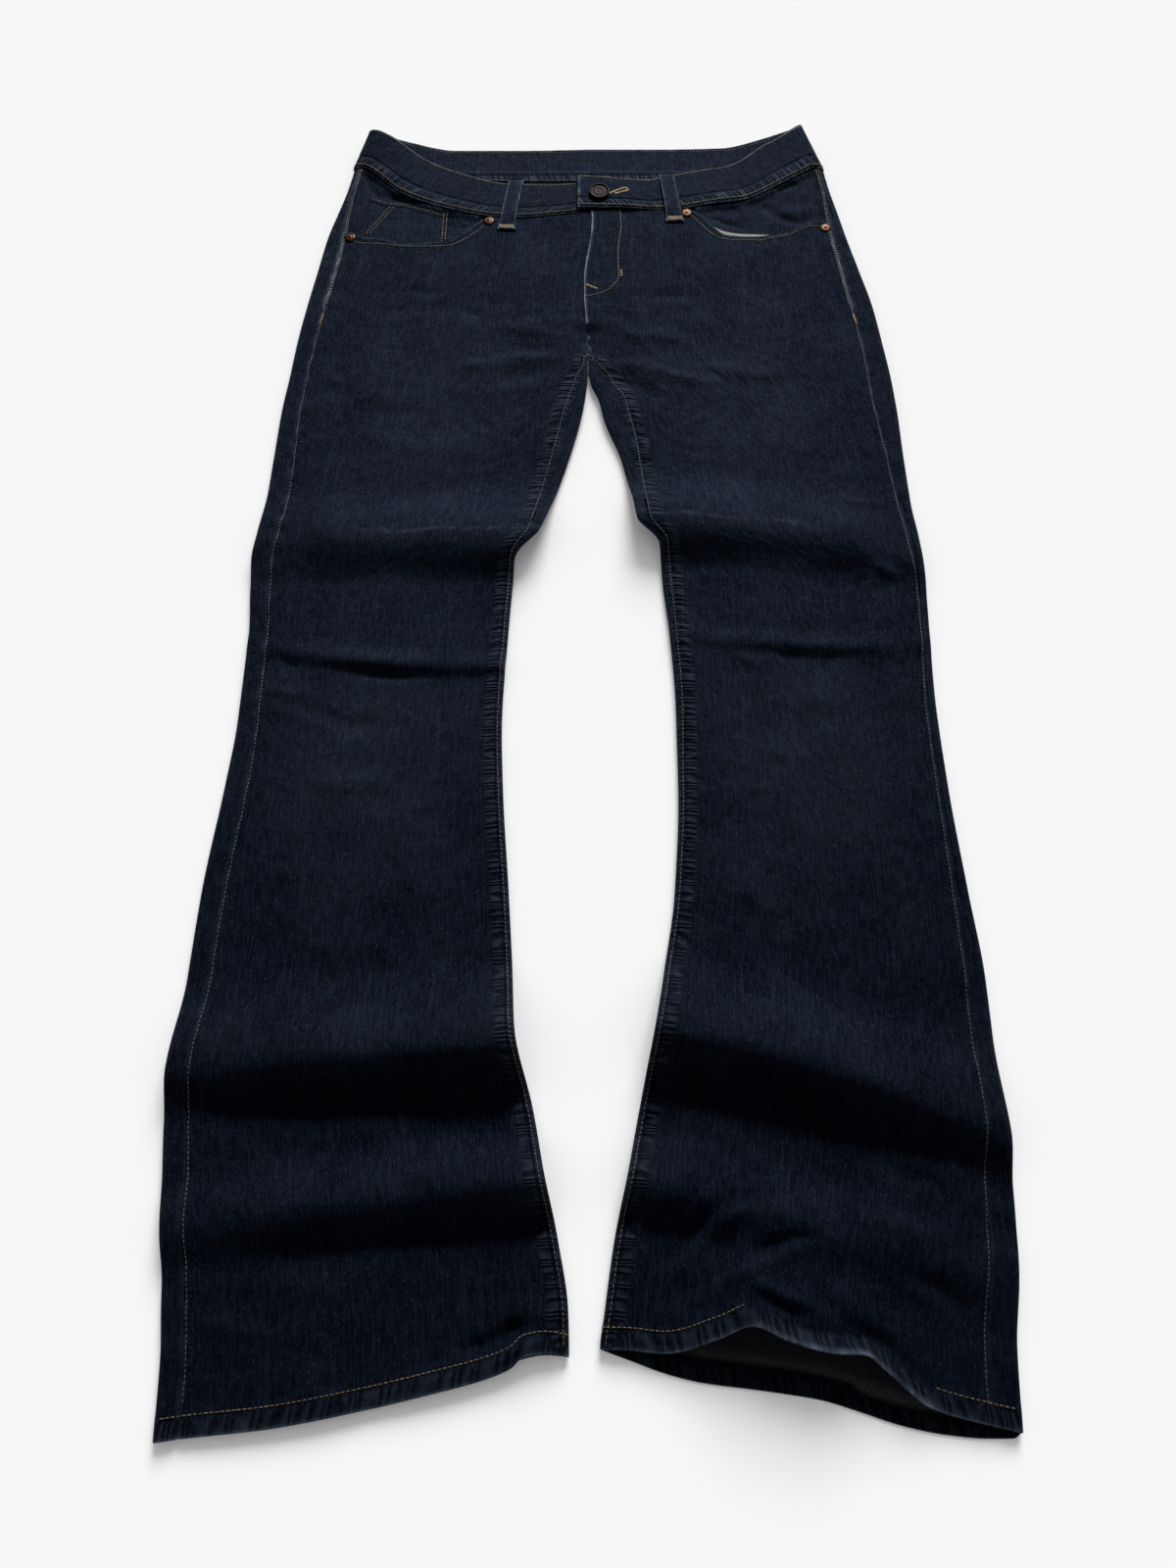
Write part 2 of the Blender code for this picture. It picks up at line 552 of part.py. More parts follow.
def band_point(side, seam_across, top_across, share, angle, back):
    """A point of the waistband, share of the way up from the waist seam."""
    across = seam_across + (top_across - seam_across) * share
    seam, top = (BACK_SEAM, BACK_TOP) if back else (WAIST_SEAM, BAND_TOP)
    low = smooth(seam[side], 1, seam_across) + GAP / 2
    y = low + (smooth(top[side], 1, top_across) - low) * share
    middle = SEAT_LIFT + BAND_LOFT / 2
    z = middle + BAND_LOFT / 2 * math.sin(math.radians(angle))
    z += TIP_LIFT * share * ease((across - TIP_FROM) / (TIP_TO - TIP_FROM))
    if side == "left" and not back:
        z += OVERLAP_RISE * ease((OVERLAP_FROM - across) / (OVERLAP_FROM - OVERLAP_TO))
    return (SIDES[side] * across, y, z)


def band_half(side):
    """Stations from the band's end at the front, round the side fold, to the centre back."""
    seam_fold, top_fold = BAND_FOLD[side]
    end = BAND_ENDS[side]
    flat = BAND_FOLD_ROUND
    stations = []
    for station in (end, end / 2, 0.0) + HIP_STATIONS[::-1] + (seam_fold - flat,):
        share = (station - end) / (seam_fold - flat - end)
        stations.append((station, end + (top_fold - flat - end) * share, 90, False))
    for angle in BAND_ANGLES:
        out = flat * (1 - math.cos(math.radians(angle)))
        stations.append((seam_fold - out, top_fold - out, angle, angle < 0))
    for step in range(1, BAND_BACK_SPANS):
        share = 1 - step / BAND_BACK_SPANS
        stations.append(((seam_fold - flat) * share, (top_fold - flat) * share, -90, True))
    return stations


def waistband():
    """One strip from the right end at the front, round the back, to the left end on top of it."""
    columns = [[band_point("right", *station[:2], share, *station[2:]) for share in (0, 0.5, 1)]
               for station in band_half("right")]
    columns.append([band_point("right", 0, 0, share, -90, True) for share in (0, 0.5, 1)])
    columns += [[band_point("left", *station[:2], share, *station[2:]) for share in (0, 0.5, 1)]
                for station in reversed(band_half("left"))]
    rows = [[column[level] for column in columns] for level in (2, 1, 0)]
    piece = cloth("waistband", rows, BAND_WALL, facing_up=False)
    slot = buttonhole_cutter()
    cut = piece.modifiers.new("buttonhole", "BOOLEAN")
    cut.operation = "DIFFERENCE"
    cut.object = slot
    return piece


def buttonhole_cutter():
    """A round-ended slot through the band's upper end only."""
    width = BUTTONHOLE["width"] * MM
    low, high = BUTTONHOLE["from"] * MM, BUTTONHOLE["to"] * MM
    bm = bmesh.new()
    level = (SEAT_LIFT + BAND_LOFT + OVERLAP_RISE - BAND_WALL / 2) * MM
    bmesh.ops.create_cone(bm, cap_ends=True, segments=12, radius1=width / 2, radius2=width / 2,
                          depth=(BAND_WALL + GAP) * MM)
    for vert in bm.verts:
        vert.co.x += high - width / 2 if vert.co.x > 0 else low + width / 2
        vert.co.y += BUTTON["y"] * MM
        vert.co.z += level
    mesh = bpy.data.meshes.new("buttonhole_cutter")
    bm.to_mesh(mesh)
    bm.free()
    cutter = bpy.data.objects.new("buttonhole_cutter", mesh)
    bpy.data.collections["cutters"].objects.link(cutter)
    cutter.hide_render = True
    cutter.display_type = "WIRE"
    return cutter


def front_loop(side):
    """Belt loop over the band and down on to the front."""
    sign = SIDES[side]
    (top_across, top_y), (low_across, low_y) = FRONT_LOOPS[side]
    on_band = SEAT_LIFT + BAND_LOFT
    rows = []
    for down in LOOP_STEPS:
        across = top_across + (low_across - top_across) * down
        y = top_y + (low_y - top_y) * down
        on_front = front_surface(side, across, y)
        rest = on_band + (on_front - on_band) * ease((down - LOOP_OFF_BAND) / 0.3)
        z = rest + GAP + PATCH_WALL + LOOP_ARCH * math.sin(math.pi * down)
        rows.append([(sign * (across + at * LOOP_WIDTH), y, z) for at in (0.5, 0.0, -0.5)])
    return cloth("belt_loop_front_" + side, rows, PATCH_WALL, facing_up=sign < 0)


def back_loop(name, x):
    """Belt loop under the back of the band."""
    low, high = BACK_LOOP_ENDS
    rows = [[(x + at * LOOP_WIDTH, high + (low - high) * down, 0.0) for at in (-0.5, 0.0, 0.5)]
            for down in (0, 0.5, 1)]
    return cloth("belt_loop_back_" + name, rows, PATCH_WALL, facing_up=False)


def back_pocket(side):
    """Five-sided patch pocket under the seat."""
    sign, size = SIDES[side], BACK_POCKET
    rows = []
    for down in (0.0, 0.25, 0.5, 0.75, 1.0):
        half = size["half_top"] + (size["half_bottom"] - size["half_top"]) * down
        line = []
        for at in (-1.0, -0.5, 0.0, 0.5, 1.0):
            y = size["top"] + (size["bottom"] - size["top"]) * down
            y -= size["point"] * down * (1 - abs(at))
            line.append((sign * size["middle"] + at * half, y, 0.0))
        rows.append(line)
    return cloth("back_pocket_" + side, rows, PATCH_WALL, facing_up=False)


def zip_strip():
    """The closed zip and its tape behind the fly."""
    rows = []
    for down in (0.0, 0.33, 0.66, 1.0):
        y = ZIP["top"] + (ZIP["bottom"] - ZIP["top"]) * down
        line = []
        for at in (-1.0, -0.3, 0.3, 1.0):
            x = at * ZIP["half_width"]
            line.append((x, y, front_surface("left", abs(x), y) - ZIP["depth"]))
        rows.append(line)
    return cloth("zip", rows, PATCH_WALL, "zip_tape")


def turned(name, profile, segments, finish):
    """A turned shape: its profile runs down the outer side from the top."""
    mesh = bpy.data.meshes.new(name)
    points = [(radius * MM, 0, height * MM) for radius, height in profile]
    mesh.from_pydata(points, [(i, i + 1) for i in range(len(points) - 1)], [])
    piece = keep(name, mesh, finish)
    turn = piece.modifiers.new("turn", "SCREW")
    turn.steps = turn.render_steps = segments
    turn.use_merge_vertices = True
    turn.merge_threshold = 0.00001
    turn.use_smooth_shade = True
    return piece


def button():
    """Tack button: a domed head, and a shank through the buttonhole to the lower end."""
    radius, head = BUTTON["radius"], BUTTON["head"]
    under = SEAT_LIFT + BAND_LOFT + OVERLAP_RISE + GAP
    foot = SEAT_LIFT + BAND_LOFT + GAP
    dish = under + head - BUTTON["dish"]
    profile = [(0, dish), (radius * 0.45, dish + 0.1),
               (radius * 0.62, under + head), (radius * 0.86, under + head),
               (radius, under + head * 0.5), (radius * 0.95, under), (BUTTON["shank"], under),
               (BUTTON["shank"], foot), (0, foot)]
    piece = turned("button", profile, 20, "bronze")
    piece.location = (BUTTON["x"] * MM, BUTTON["y"] * MM, 0)
    return piece


def rivet(name, side, across, y):
    """Small domed rivet on a pocket corner, square to the cloth under it."""
    profile = [(0, RIVET_HEIGHT), (RIVET_RADIUS * 0.5, RIVET_HEIGHT * 0.9),
               (RIVET_RADIUS * 0.9, RIVET_HEIGHT * 0.55), (RIVET_RADIUS, 0.2),
               (RIVET_RADIUS * 0.96, 0), (0, 0)]
    piece = turned(name, profile, 12, "copper")
    level = max(front_surface(side, across + dx, y + dy)
                for dx in (-RIVET_RADIUS, 0, RIVET_RADIUS)
                for dy in (-RIVET_RADIUS, 0, RIVET_RADIUS))
    piece.location = (SIDES[side] * across * MM, y * MM, (level + GAP) * MM)
    return piece


def coin_depth(across, y):
    """The coin pocket lies on the right facing."""
    return facing_depth("right", across, y) - GAP - LINING_WALL


def main():
    for old in list(bpy.data.objects):
        bpy.data.objects.remove(old)
    for name in ("jeans", "cutters"):
        made = bpy.data.collections.new(name)
        bpy.context.scene.collection.children.link(made)
    for side in SIDES:
        front_panel(side)
        back_panel(side)
        yoke(side)
        pocket_facing(side)
        front_loop(side)
        back_pocket(side)
    patch_under("coin_pocket", "right", COIN_POCKET, coin_depth, "denim")
    patch_under("pocket_bag_left", "left", BAG, lambda across, y: BAG_DEPTH, "lining")
    waistband()
    zip_strip()
    for name, x in BACK_LOOPS.items():
        back_loop(name, x)
    button()
    for name, (side, across, y) in RIVETS.items():
        rivet(name, side, across, y)


main()
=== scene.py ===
"""The looks of a pair of dark bootcut jeans that lie flat on their back, front side up.

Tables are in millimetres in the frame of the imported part: +X is the wearer's left, +Y runs from
the hems to the waist, +Z is up.  Left and right are the wearer's, and "across" is the distance
from the middle line.  The cloth is a thin shell on the form of its solids, with finer creases.
"""
import math

import bpy
import numpy as np
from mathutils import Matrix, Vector


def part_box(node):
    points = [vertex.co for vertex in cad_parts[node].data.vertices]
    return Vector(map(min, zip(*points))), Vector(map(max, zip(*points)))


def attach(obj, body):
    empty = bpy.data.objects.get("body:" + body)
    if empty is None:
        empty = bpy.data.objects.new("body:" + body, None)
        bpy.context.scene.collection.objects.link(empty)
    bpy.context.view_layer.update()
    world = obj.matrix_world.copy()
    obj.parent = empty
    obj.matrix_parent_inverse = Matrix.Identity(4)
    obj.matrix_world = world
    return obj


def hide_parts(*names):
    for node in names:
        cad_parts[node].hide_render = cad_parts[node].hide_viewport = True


MM = 0.001
SIDES = {"right": -1, "left": 1}

# ---- cloth --------------------------------------------------------------------------------------
GAP = 0.3                 # between pieces that meet at a seam or lie on each other
MEETING = 0.1             # how far each shell stays back from a seam's line
WALL = 1.1                # denim panel
BAND_WALL = 2.1           # waistband, two layers and their turnings
PATCH_WALL = 1.4          # belt loops and back pockets
FACING_WALL = 0.9         # pocket facings and coin pocket
BAG_WALL = 0.8            # pocketing
LEG_LOFT = 5.6            # outside to outside of the two layers in the legs
HIP_LOFT = 6.3            # the same at the hips, over the pockets' layers
BAND_LOFT = 7.8           # the same at the waistband
CROTCH_LOFT = 4.4         # the two layers pressed together at the crotch
HIP_RISE = (200.0, 380.0)        # y between which the leg's loft becomes the hip's
CROTCH_REACH = (24.0, 30.0)      # how far across and along y that pressing is felt
EDGE_ROUND = 4.5          # how far in from a folded edge the rounding reaches
SEAT_LIFT = 1.8           # the seat lies on the back pockets and loops
SEAT_FROM, SEAT_TO = 165.0, 240.0     # y where the seat has come down to the floor, and is up
CROTCH_Y = 245.0          # lowest point of the seam between the legs
FORK_Y = 270.0            # where both inseams meet the front seam
TUBE_END = 264.0          # the back layers wrap round the inner folds up to here
HEM_DEPTH = 13.0          # how far up the hem is turned
HEM_EXTRA = 0.9           # the turned hem is thicker than one layer
HEM_ROW_IN = 1.5          # its stitches run this far below the turning's edge
HEM_ARCH_REACH = 95.0     # how far up the leg the lifted hem is felt
CENTRE_FRONT = ((245, 0), (300, -1.5), (329, -3.2), (350, -3.3), (366, -2.1), (387, 1.0),
                (404, 2.9), (421, 3.4), (436, 1.0))      # y, x of the fly's edge
FLY_BOTTOM = 318.0        # y of the fly's lower end
FLY_WIDTH, FLY_RISE = 26.0, 0.9  # the fly's lap, and how much thicker the front is over it
STANDING_HEM = (90.0, 200.0)     # across, where the left front hem stands on its edge
RIM_ROUND = 0.45          # how far a cut edge bulges, in walls
EDGE_AT = (0.0, 0.7, 1.6, 3.2)       # in from a panel's sewn edge
EDGE_DIPS = (1.25, 0.5, 0.12, 0.0)   # how far the cloth dips into the seam at those places
FRONT_COLUMNS, FRONT_ROWS, BACK_ROWS = 62, 300, 290           # points of the leg panels
TOP_PULL = 0.16           # share of a panel's length in which its rows follow the top edge
HEM_PULL = 0.12           # and the same at the hem
LEG_MIDDLE = 130.0        # across, between the inseam's part of the back and the outseam's
FAR_OFF = 40.0            # from a seam, beyond its ribs
UNDER_BACK = 24.0         # across, where the seat's fine columns toward the centre back begin

# ---- legs ---------------------------------------------------------------------------------------
# y, outer fold, outseam's inset from it, inseam's inset from the inner fold, inner fold
LEG_SECTIONS = {
    "right": (
        (-527, 247.5, 14.0, 5.4, 11.0), (-484, 249.5, 14.0, 5.4, 11.0),
        (-460, 252.5, 14.0, 5.4, 11.6), (-420, 257.0, 13.5, 5.4, 18.2),
        (-380, 263.0, 15.0, 5.4, 27.0), (-340, 266.5, 14.4, 5.4, 35.3),
        (-300, 265.2, 14.4, 5.4, 45.6), (-280, 264.3, 14.5, 5.4, 47.6),
        (-200, 261.9, 15.0, 5.4, 53.7), (-120, 255.4, 15.0, 5.4, 60.0),
        (-70, 252.5, 13.5, 5.4, 62.0), (0, 252.7, 13.0, 5.4, 59.4),
        (40, 256.0, 14.0, 5.4, 57.2), (62, 257.0, 15.0, 5.4, 55.5),
        (84, 254.5, 15.5, 10.5, 37.0), (120, 252.3, 16.0, 13.8, 27.0),
        (160, 251.0, 15.5, 16.4, 15.5), (200, 249.5, 14.0, 17.5, 5.8),
        (220, 248.0, 14.0, 16.0, 2.5), (240, 246.0, 13.5, 12.0, 0.6),
        (280, 243.0, 14.5, 0.0, 0.0), (320, 238.5, 15.0, 0.0, 0.0),
        (360, 233.0, 15.0, 0.0, 0.0), (400, 227.5, 13.0, 0.0, 0.0),
        (430, 220.5, 8.0, 0.0, 0.0), (455, 215.0, 5.0, 0.0, 0.0),
        (480, 211.0, 5.0, 0.0, 0.0)),
    "left": (
        (-524, 248.0, 19.0, 5.4, 7.0), (-480, 251.0, 18.0, 5.4, 7.0),
        (-460, 253.7, 18.3, 5.4, 9.8), (-420, 259.4, 17.4, 5.4, 16.0),
        (-380, 261.4, 15.7, 5.4, 24.7), (-340, 260.5, 13.3, 5.4, 33.0),
        (-300, 261.2, 13.0, 5.4, 41.2), (-260, 261.5, 12.5, 5.4, 49.0),
        (-200, 257.8, 9.6, 5.4, 58.8), (-120, 253.4, 7.0, 5.6, 63.5),
        (-60, 252.3, 6.5, 7.0, 63.6), (0, 254.5, 5.5, 7.4, 60.8),
        (40, 256.0, 6.0, 8.5, 57.0), (76, 254.3, 8.5, 8.5, 54.5),
        (94, 254.0, 9.0, 12.0, 37.5), (120, 253.1, 10.0, 12.8, 34.2),
        (160, 252.2, 12.8, 16.5, 26.7), (200, 251.7, 16.7, 23.5, 13.0),
        (220, 250.8, 18.0, 23.5, 8.8), (240, 249.7, 18.0, 20.0, 1.7),
        (280, 246.0, 17.0, 0.0, 0.0), (320, 241.6, 18.0, 0.0, 0.0),
        (360, 234.0, 15.5, 0.0, 0.0), (400, 226.0, 12.5, 0.0, 0.0),
        (430, 220.6, 8.5, 0.0, 0.0), (455, 216.0, 5.0, 0.0, 0.0),
        (480, 212.5, 5.0, 0.0, 0.0)),
}
OUTER, OUTSEAM, INSEAM, INNER = 1, 2, 3, 4          # columns of those rows

# crest y at the outer and inner fold, bow; height at the outer fold, middle and inner fold;
# reach up and down the leg; share the back layer takes
LEG_RIDGES = {
    "right": (
        (80, 80, 0, 7, 12, 16, 55, 38, 0.97),
        (-10, -28, -6, 1, 5, 4, 16, 9, 0.0),
        (-318, -303, 0, 12, 24, 26, 60, 34, 0.97),
        (-416, -386, 2, 7, 15, 19, 36, 28, 0.97)),
    "left": (
        (67, 95, 6, 7, 13, 17, 55, 40, 0.97),
        (-10, 0, -6, 1, 5, 1, 16, 9, 0.0),
        (-357, -294, 5, 12, 24, 26, 60, 34, 0.97),
        (-446, -384, 4, 4, 10, 14, 34, 28, 0.50)),
}

# ---- hems ---------------------------------------------------------------------------------------
# across, y, how far that point stands off the floor
FRONT_HEM = {
    "right": ((11, -483, 0), (25, -481, 2), (38, -483, 4), (45, -489, 2), (61, -495, 1),
              (94, -503, 0), (126, -510, 0), (183, -520, 0), (233, -525, 0), (247.5, -527, 0)),
    "left": ((7, -479, 0), (20, -479, 0), (45, -481, 3), (75, -473, 13), (94, -466, 20),
             (115, -474, 19), (140, -480, 19), (158, -481, 16), (171, -490, 9),
             (196, -509, 3), (229, -518, 0), (248, -522, 0)),
}
BACK_HEM = {
    "right": ((11, -483, 0), (25, -482, 0), (45, -486, 0), (94, -501, 0), (126, -508, 0),
              (183, -518, 0), (233, -525, 0), (247.5, -527, 0)),
    "left": ((7, -479, 0), (22, -484, 0), (46, -492, 0), (66, -496.5, 0), (100, -500.5, 0),
             (135, -505.5, 0), (155, -511, 0), (180, -518.5, 0), (204, -523, 0),
             (229, -525, 0), (243, -525, 0), (248, -522, 0)),
}

# ---- waist --------------------------------------------------------------------------------------
# across, y
WAIST_SEAM = {
    "right": ((-30, 432), (0, 430.4), (12, 426), (34, 423), (59, 420), (78, 421), (101, 425),
              (122, 431), (139, 437), (157, 445), (171, 454), (187, 470), (193, 476),
              (199, 480.5), (205, 482), (212, 481.5)),
    "left": ((-10, 430), (35, 429.5), (65, 430), (86, 432), (107, 437), (138, 442),
             (157, 452), (182, 468.5), (194, 476), (203, 481.5), (213, 481)),
}
BAND_TOP = {
    "right": ((-30, 462.5), (0, 462), (20, 460.3), (36, 459.5), (57, 460), (73, 461), (88, 464),
              (105, 470.5), (119, 476), (130, 481), (140, 486), (150, 492), (160, 500),
              (172, 510), (181, 516), (190, 521), (199, 523)),
    "left": ((-10, 468.5), (10, 467.5), (36, 464), (52, 465), (66, 469), (80, 472.5), (96, 477),
             (110, 480), (119, 481.5), (127, 484), (136, 488), (145, 495), (152, 501),
             (159, 506.5), (167, 510), (176, 516.5), (184, 522.5), (190, 527.3), (195, 531)),
}
BACK_SEAM = {"right": ((0, 468), (110, 468), (160, 471), (212, 481.5)),
             "left": ((0, 468), (110, 468), (160, 471), (213, 481))}
BACK_TOP = {"right": ((0, 509.5), (60, 508), (120, 508), (160, 513.5), (199, 523)),
            "left": ((0, 509.5), (60, 509.5), (120, 511), (160, 519), (195, 531))}
YOKE_SEAM = ((0, 398), (100, 411), (190, 434), (222, 441))
BAND_FOLD = {"right": (212, 199), "left": (213, 195)}     # side fold at the seam and at the top
BAND_FOLD_ROUND = 6.0     # how far in from the side fold the band begins to turn
BAND_ENDS = {"right": -24.0, "left": -9.0}                # across: both ends pass the middle
BAND_TALL = 36.0          # measured over the cloth
BAND_SPACING = 3.0        # between the band's stations
BAND_LEVELS = (1.0, 0.98, 0.95, 0.9, 0.8, 0.7, 0.6, 0.5, 0.4, 0.35, 0.32, 0.30, 0.28,
               0.26, 0.24, 0.21, 0.16, 0.1, 0.05, 0.02, 0.0)        # shares of its height
# by level, how far the outside falls back at the rounded edges
BAND_EDGES = {1.0: -0.9, 0.98: -0.35, 0.95: -0.05, 0.05: -0.1, 0.02: -0.45, 0.0: -1.1}
BAND_GROOVE = 0.28        # share of the band's height where the seam allowance ends under it
GROOVE_DEPTH, GROOVE_WIDTH = 1.0, 0.028       # mm, and a share of the band's height
OVERLAP_RISE = 2.5        # the left end lies on the right one
OVERLAP_FROM, OVERLAP_TO = 62.0, 28.0                     # across, where it climbs
TIP_LIFT = 6.0            # how far the band's top stands up at the side folds
TIP_FROM, TIP_TO = 120.0, 190.0       # across, where they begin to rise and are up

# ---- front pockets ------------------------------------------------------------------------------
POCKET_INNER = 88.0       # across, where the opening meets the waist seam
POCKET_EDGE = {
    "right": ((88, 422), (95, 416), (103, 408), (112, 400), (121, 393.5), (133, 392),
              (150, 390), (162, 389.5), (170, 392), (180, 395.5), (188, 396.5), (196, 396.5),
              (202, 400), (208, 403.5), (214, 405)),
    "left": ((88, 432), (95, 427.5), (102, 419.5), (111, 408), (118, 400.8), (126, 398.8),
             (145, 398.3), (160, 400.5), (172, 403), (178, 405), (184, 410), (192, 413),
             (200, 416), (207, 417), (214, 415)),
}
FACING_DEPTH = 2.8        # how far the facing lies under the front's surface
FACING_RISE = 8.5         # how near to the waist seam and outseam it comes up to them
FACING_TUCK = 14.0        # how far it goes down behind the opening
FACING_INNER = 95.0       # across, its inner edge
FACING_LIP = 3.0          # width of its strip beside the outseam
HOLLOW_ENDS = 0.2         # share of its length over which a hollow deepens
FACING_HOLLOWS = {        # height, spread above and below the line, then its points (world x, y)
    "right": ((-2.0, 4, 3, (-200, 478), (-195, 458), (-189, 449), (-170, 446), (-140, 438)),
              (1.1, 3, 3, (-178, 452), (-165, 449), (-148, 444)),
              (-1.8, 3, 3, (-121, 420), (-119, 410), (-118, 398)),
              (1.4, 2.5, 3, (-116, 428), (-112, 420), (-107, 412)),
              (0.9, 4, 4, (-207, 470), (-208, 440), (-210, 410))),
    "left": ((-2.4, 4, 3, (148, 440), (160, 434), (166, 425), (176, 420), (188, 417), (200, 427)),
             (-2.0, 3, 3, (165, 453), (178, 460), (190, 466)),
             (1.3, 4, 4, (136, 438), (139, 430), (142, 420)),
             (1.2, 4, 5, (170, 432), (186, 430), (198, 436)),
             (-1.6, 3, 3, (108, 424), (122, 416), (140, 411)),
             (0.9, 4, 4, (205, 470), (206, 440), (209, 422))),
}
# across, top y, bottom y
COIN_POCKET = ((123, 421.5, 384), (138, 425.5, 382), (152, 430.5, 380), (163, 434.5, 380),
               (176, 435.5, 380), (194, 442, 384))
COIN_RISE = 1.0           # how far the coin pocket stands off the facing
BAG = ((106, 415, 380), (118, 407, 365), (132, 404, 362), (146, 403.5, 365),
       (162, 402.3, 380))
BAG_UNDER = 0.4           # how far the pocketing lies under the front

# ---- small pieces -------------------------------------------------------------------------------
LOOP_WIDTH = 12.0
LOOP_ARCH = 0.9           # how far a front loop bows out
LOOP_OFF_BAND = 0.66      # share of its length where it leaves the band
LOOP_COLUMNS = (0.5, 0.46, 0.38, 0.26, 0.13, 0.0, -0.13, -0.26, -0.38, -0.46, -0.5)
LOOP_PRESSED = (0.07, 0.93)      # shares of its length where it is sewn down
FRONT_LOOPS = {"right": ((64, 463.5), (71.5, 405)), "left": ((70, 471), (76.5, 415))}
BACK_LOOPS = {"right": -115.0, "centre": 0.0, "left": 115.0}
BACK_LOOP_ENDS = (506.0, 456.0)
BACK_POCKET = {"middle": 98.0, "top": 388.0, "bottom": 262.0, "point": 11.0,
               "half_top": 69.0, "half_bottom": 60.0}
# shank: radius of the part under the head, root: how far it goes down
BUTTON = {"x": 10.0, "y": 446.0, "radius": 9.3, "head": 2.4, "shank": 2.1, "root": 2.5}
# profiles: share of the radius, mm below the button's top; then shares of the rivet's radius
# and of its height
BUTTON_FACE = ((0, 0.7), (0.10, 0.72), (0.18, 0.95), (0.3, 1.0), (0.40, 0.62), (0.50, 0.58),
               (0.56, 0.95), (0.72, 0.85), (0.78, 0.5), (0.8, 1.4), (0, 1.4))
BUTTON_RIM = ((0, 1.2), (0.74, 1.2), (0.775, 0.35), (0.82, 0.06), (0.89, 0), (0.95, 0.18),
              (1, 1.08), (0.985, 1.68), (0.94, 2.35))
RIVET_RADIUS, RIVET_HEIGHT, RIVET_ROOT = 5.1, 1.6, 0.5               # root: part in the cloth
RIVET_DOME = ((0, 1), (0.16, 0.98), (0.26, 0.80), (0.36, 0.70), (0.55, 0.78), (0.72, 0.70),
              (0.88, 0.46), (0.98, 0.20))
RIVETS = {"rivet_right_outer": (-207.5, 396), "rivet_right_inner": (-87, 415.5),
          "rivet_left_inner": (87, 425), "rivet_left_outer": (208, 407)}

# ---- topstitching -------------------------------------------------------------------------------
LINE_STEP = 1.5           # between the points of a line that is sewn
ROW_LIFT = 0.22           # how far a row stands off the cloth
TACK_LIFT = 0.35          # how far a bar tack does
HIP_ROWS_FROM = 318.0     # y above which the outseam has two rows beside it
SEAM_ROWS = (             # seam, off it, lowest and highest y, lift
    ("inseam", -2.2, -478, 268, 0.35), ("outseam", -1.8, -508, 392, ROW_LIFT))
HIP_ROWS = (("outseam", -1.4, HIP_ROWS_FROM, 478, 0.3), ("outseam", -2.9, HIP_ROWS_FROM, 478, 0.3))
POCKET_ROWS = (           # x, y of the row below each pocket's edge
    ((-205, 393), (-199, 389.6), (-181, 388.6), (-156, 385.8), (-132, 386.4), (-119, 387.8),
     (-108, 394.1), (-100, 400.5), (-92, 409)),
    ((89.9, 424), (94, 418.5), (100.7, 409.5), (108, 401), (115.1, 395.4), (127, 393.2),
     (147.6, 393.4), (160, 397), (177, 400.8), (185, 406), (198, 409.7), (206, 409.2)))
FLY_ROW = ((28.4, 429), (28.8, 409), (26.7, 389), (25.9, 372), (26.3, 350), (22, 340.6),
           (13.3, 332.6), (-1.0, 328.2))
COIN_ROWS = (             # across, y
    ((124.6, 425), (124.8, 397)), ((127.6, 426), (127.8, 394)),
    ((176, 433), (186, 416), (194, 403)), ((173, 432.5), (183, 415), (190.5, 403)),
    ((127, 424.5), (137, 428), (151, 433), (163, 437), (175, 437.5), (191, 444)))
BAND_ROWS, BAND_INSIDE_ROWS = (0.06, 0.945), (0.94, 0.08)            # shares of the band's height
BUTTONHOLE = ((18.5, 444.6), (21.5, 446.2), (27.8, 449.6), (33.6, 451.6), (35.5, 448.6),
              (31, 447.0), (24, 444.2))
FLY_TACKS = ((28.6, 354, 7, 92), (3.3, 338.3, 10.5, -30))            # x, y, length, degrees
HIP_TACK = {"y": 303, "off": -1.6, "length": 10, "degrees": 12}
LOOP_TACKS = (1.5, 3.5)   # above the loop's lower end
THREADS = {               # thread, from stitch to stitch, a stitch's length, its thickness
    "inseam_stitching": ("pale", 3.1, 2.5, 0.6),
    "hip_stitching": ("pale", 2.8, 2.5, 0.8),
    "hem_stitching": ("tan", 3.1, 2.7, 0.75),
    "pocket_stitching": ("tan", 2.9, 2.5, 0.75),
    "waistband_stitching": ("tan", 3.0, 2.6, 0.8),
    "waistband_inside_stitching": ("tan", 3.2, 2.4, 0.5),
    "fly_stitching": ("tan", 2.9, 2.5, 0.75),
    "buttonhole_cord": ("tan", 0.7, 2.6, 1.0),
    "coin_pocket_stitching": ("tan", 2.9, 2.4, 0.65),
    "bar_tacks": ("tan", 0.55, 2.4, 0.6),
}

# ---- creases ------------------------------------------------------------------------------------
HANDLED = ((0.55, 95, 3), (0.28, 38, 5), (0.10, 17, 8))   # slow unevenness: height, length, seed
PUCKERS = (("outseam", 0.8, 10, 61), ("inseam", 0.5, 8, 62))         # height, reach, seed
# from ripple to ripple, how they lean and the y above which there are none
PUCKER_LENGTH, PUCKER_SLANT, PUCKER_TOP = 19, 0.35, 385
CREASE_DEPTH = 1.35       # all creases at once
CREASE_ENDS = 0.3         # share of its length over which a crease rises
CREASE_MARGIN = 40        # further from its points than this a crease isn't felt
CALM_EDGE = 16.0          # creases reach their full height this far in from a folded edge
CALM_WAIST = (445.0, 26.0, 40.0)      # y of the waist's stiff seam, and how it calms creases
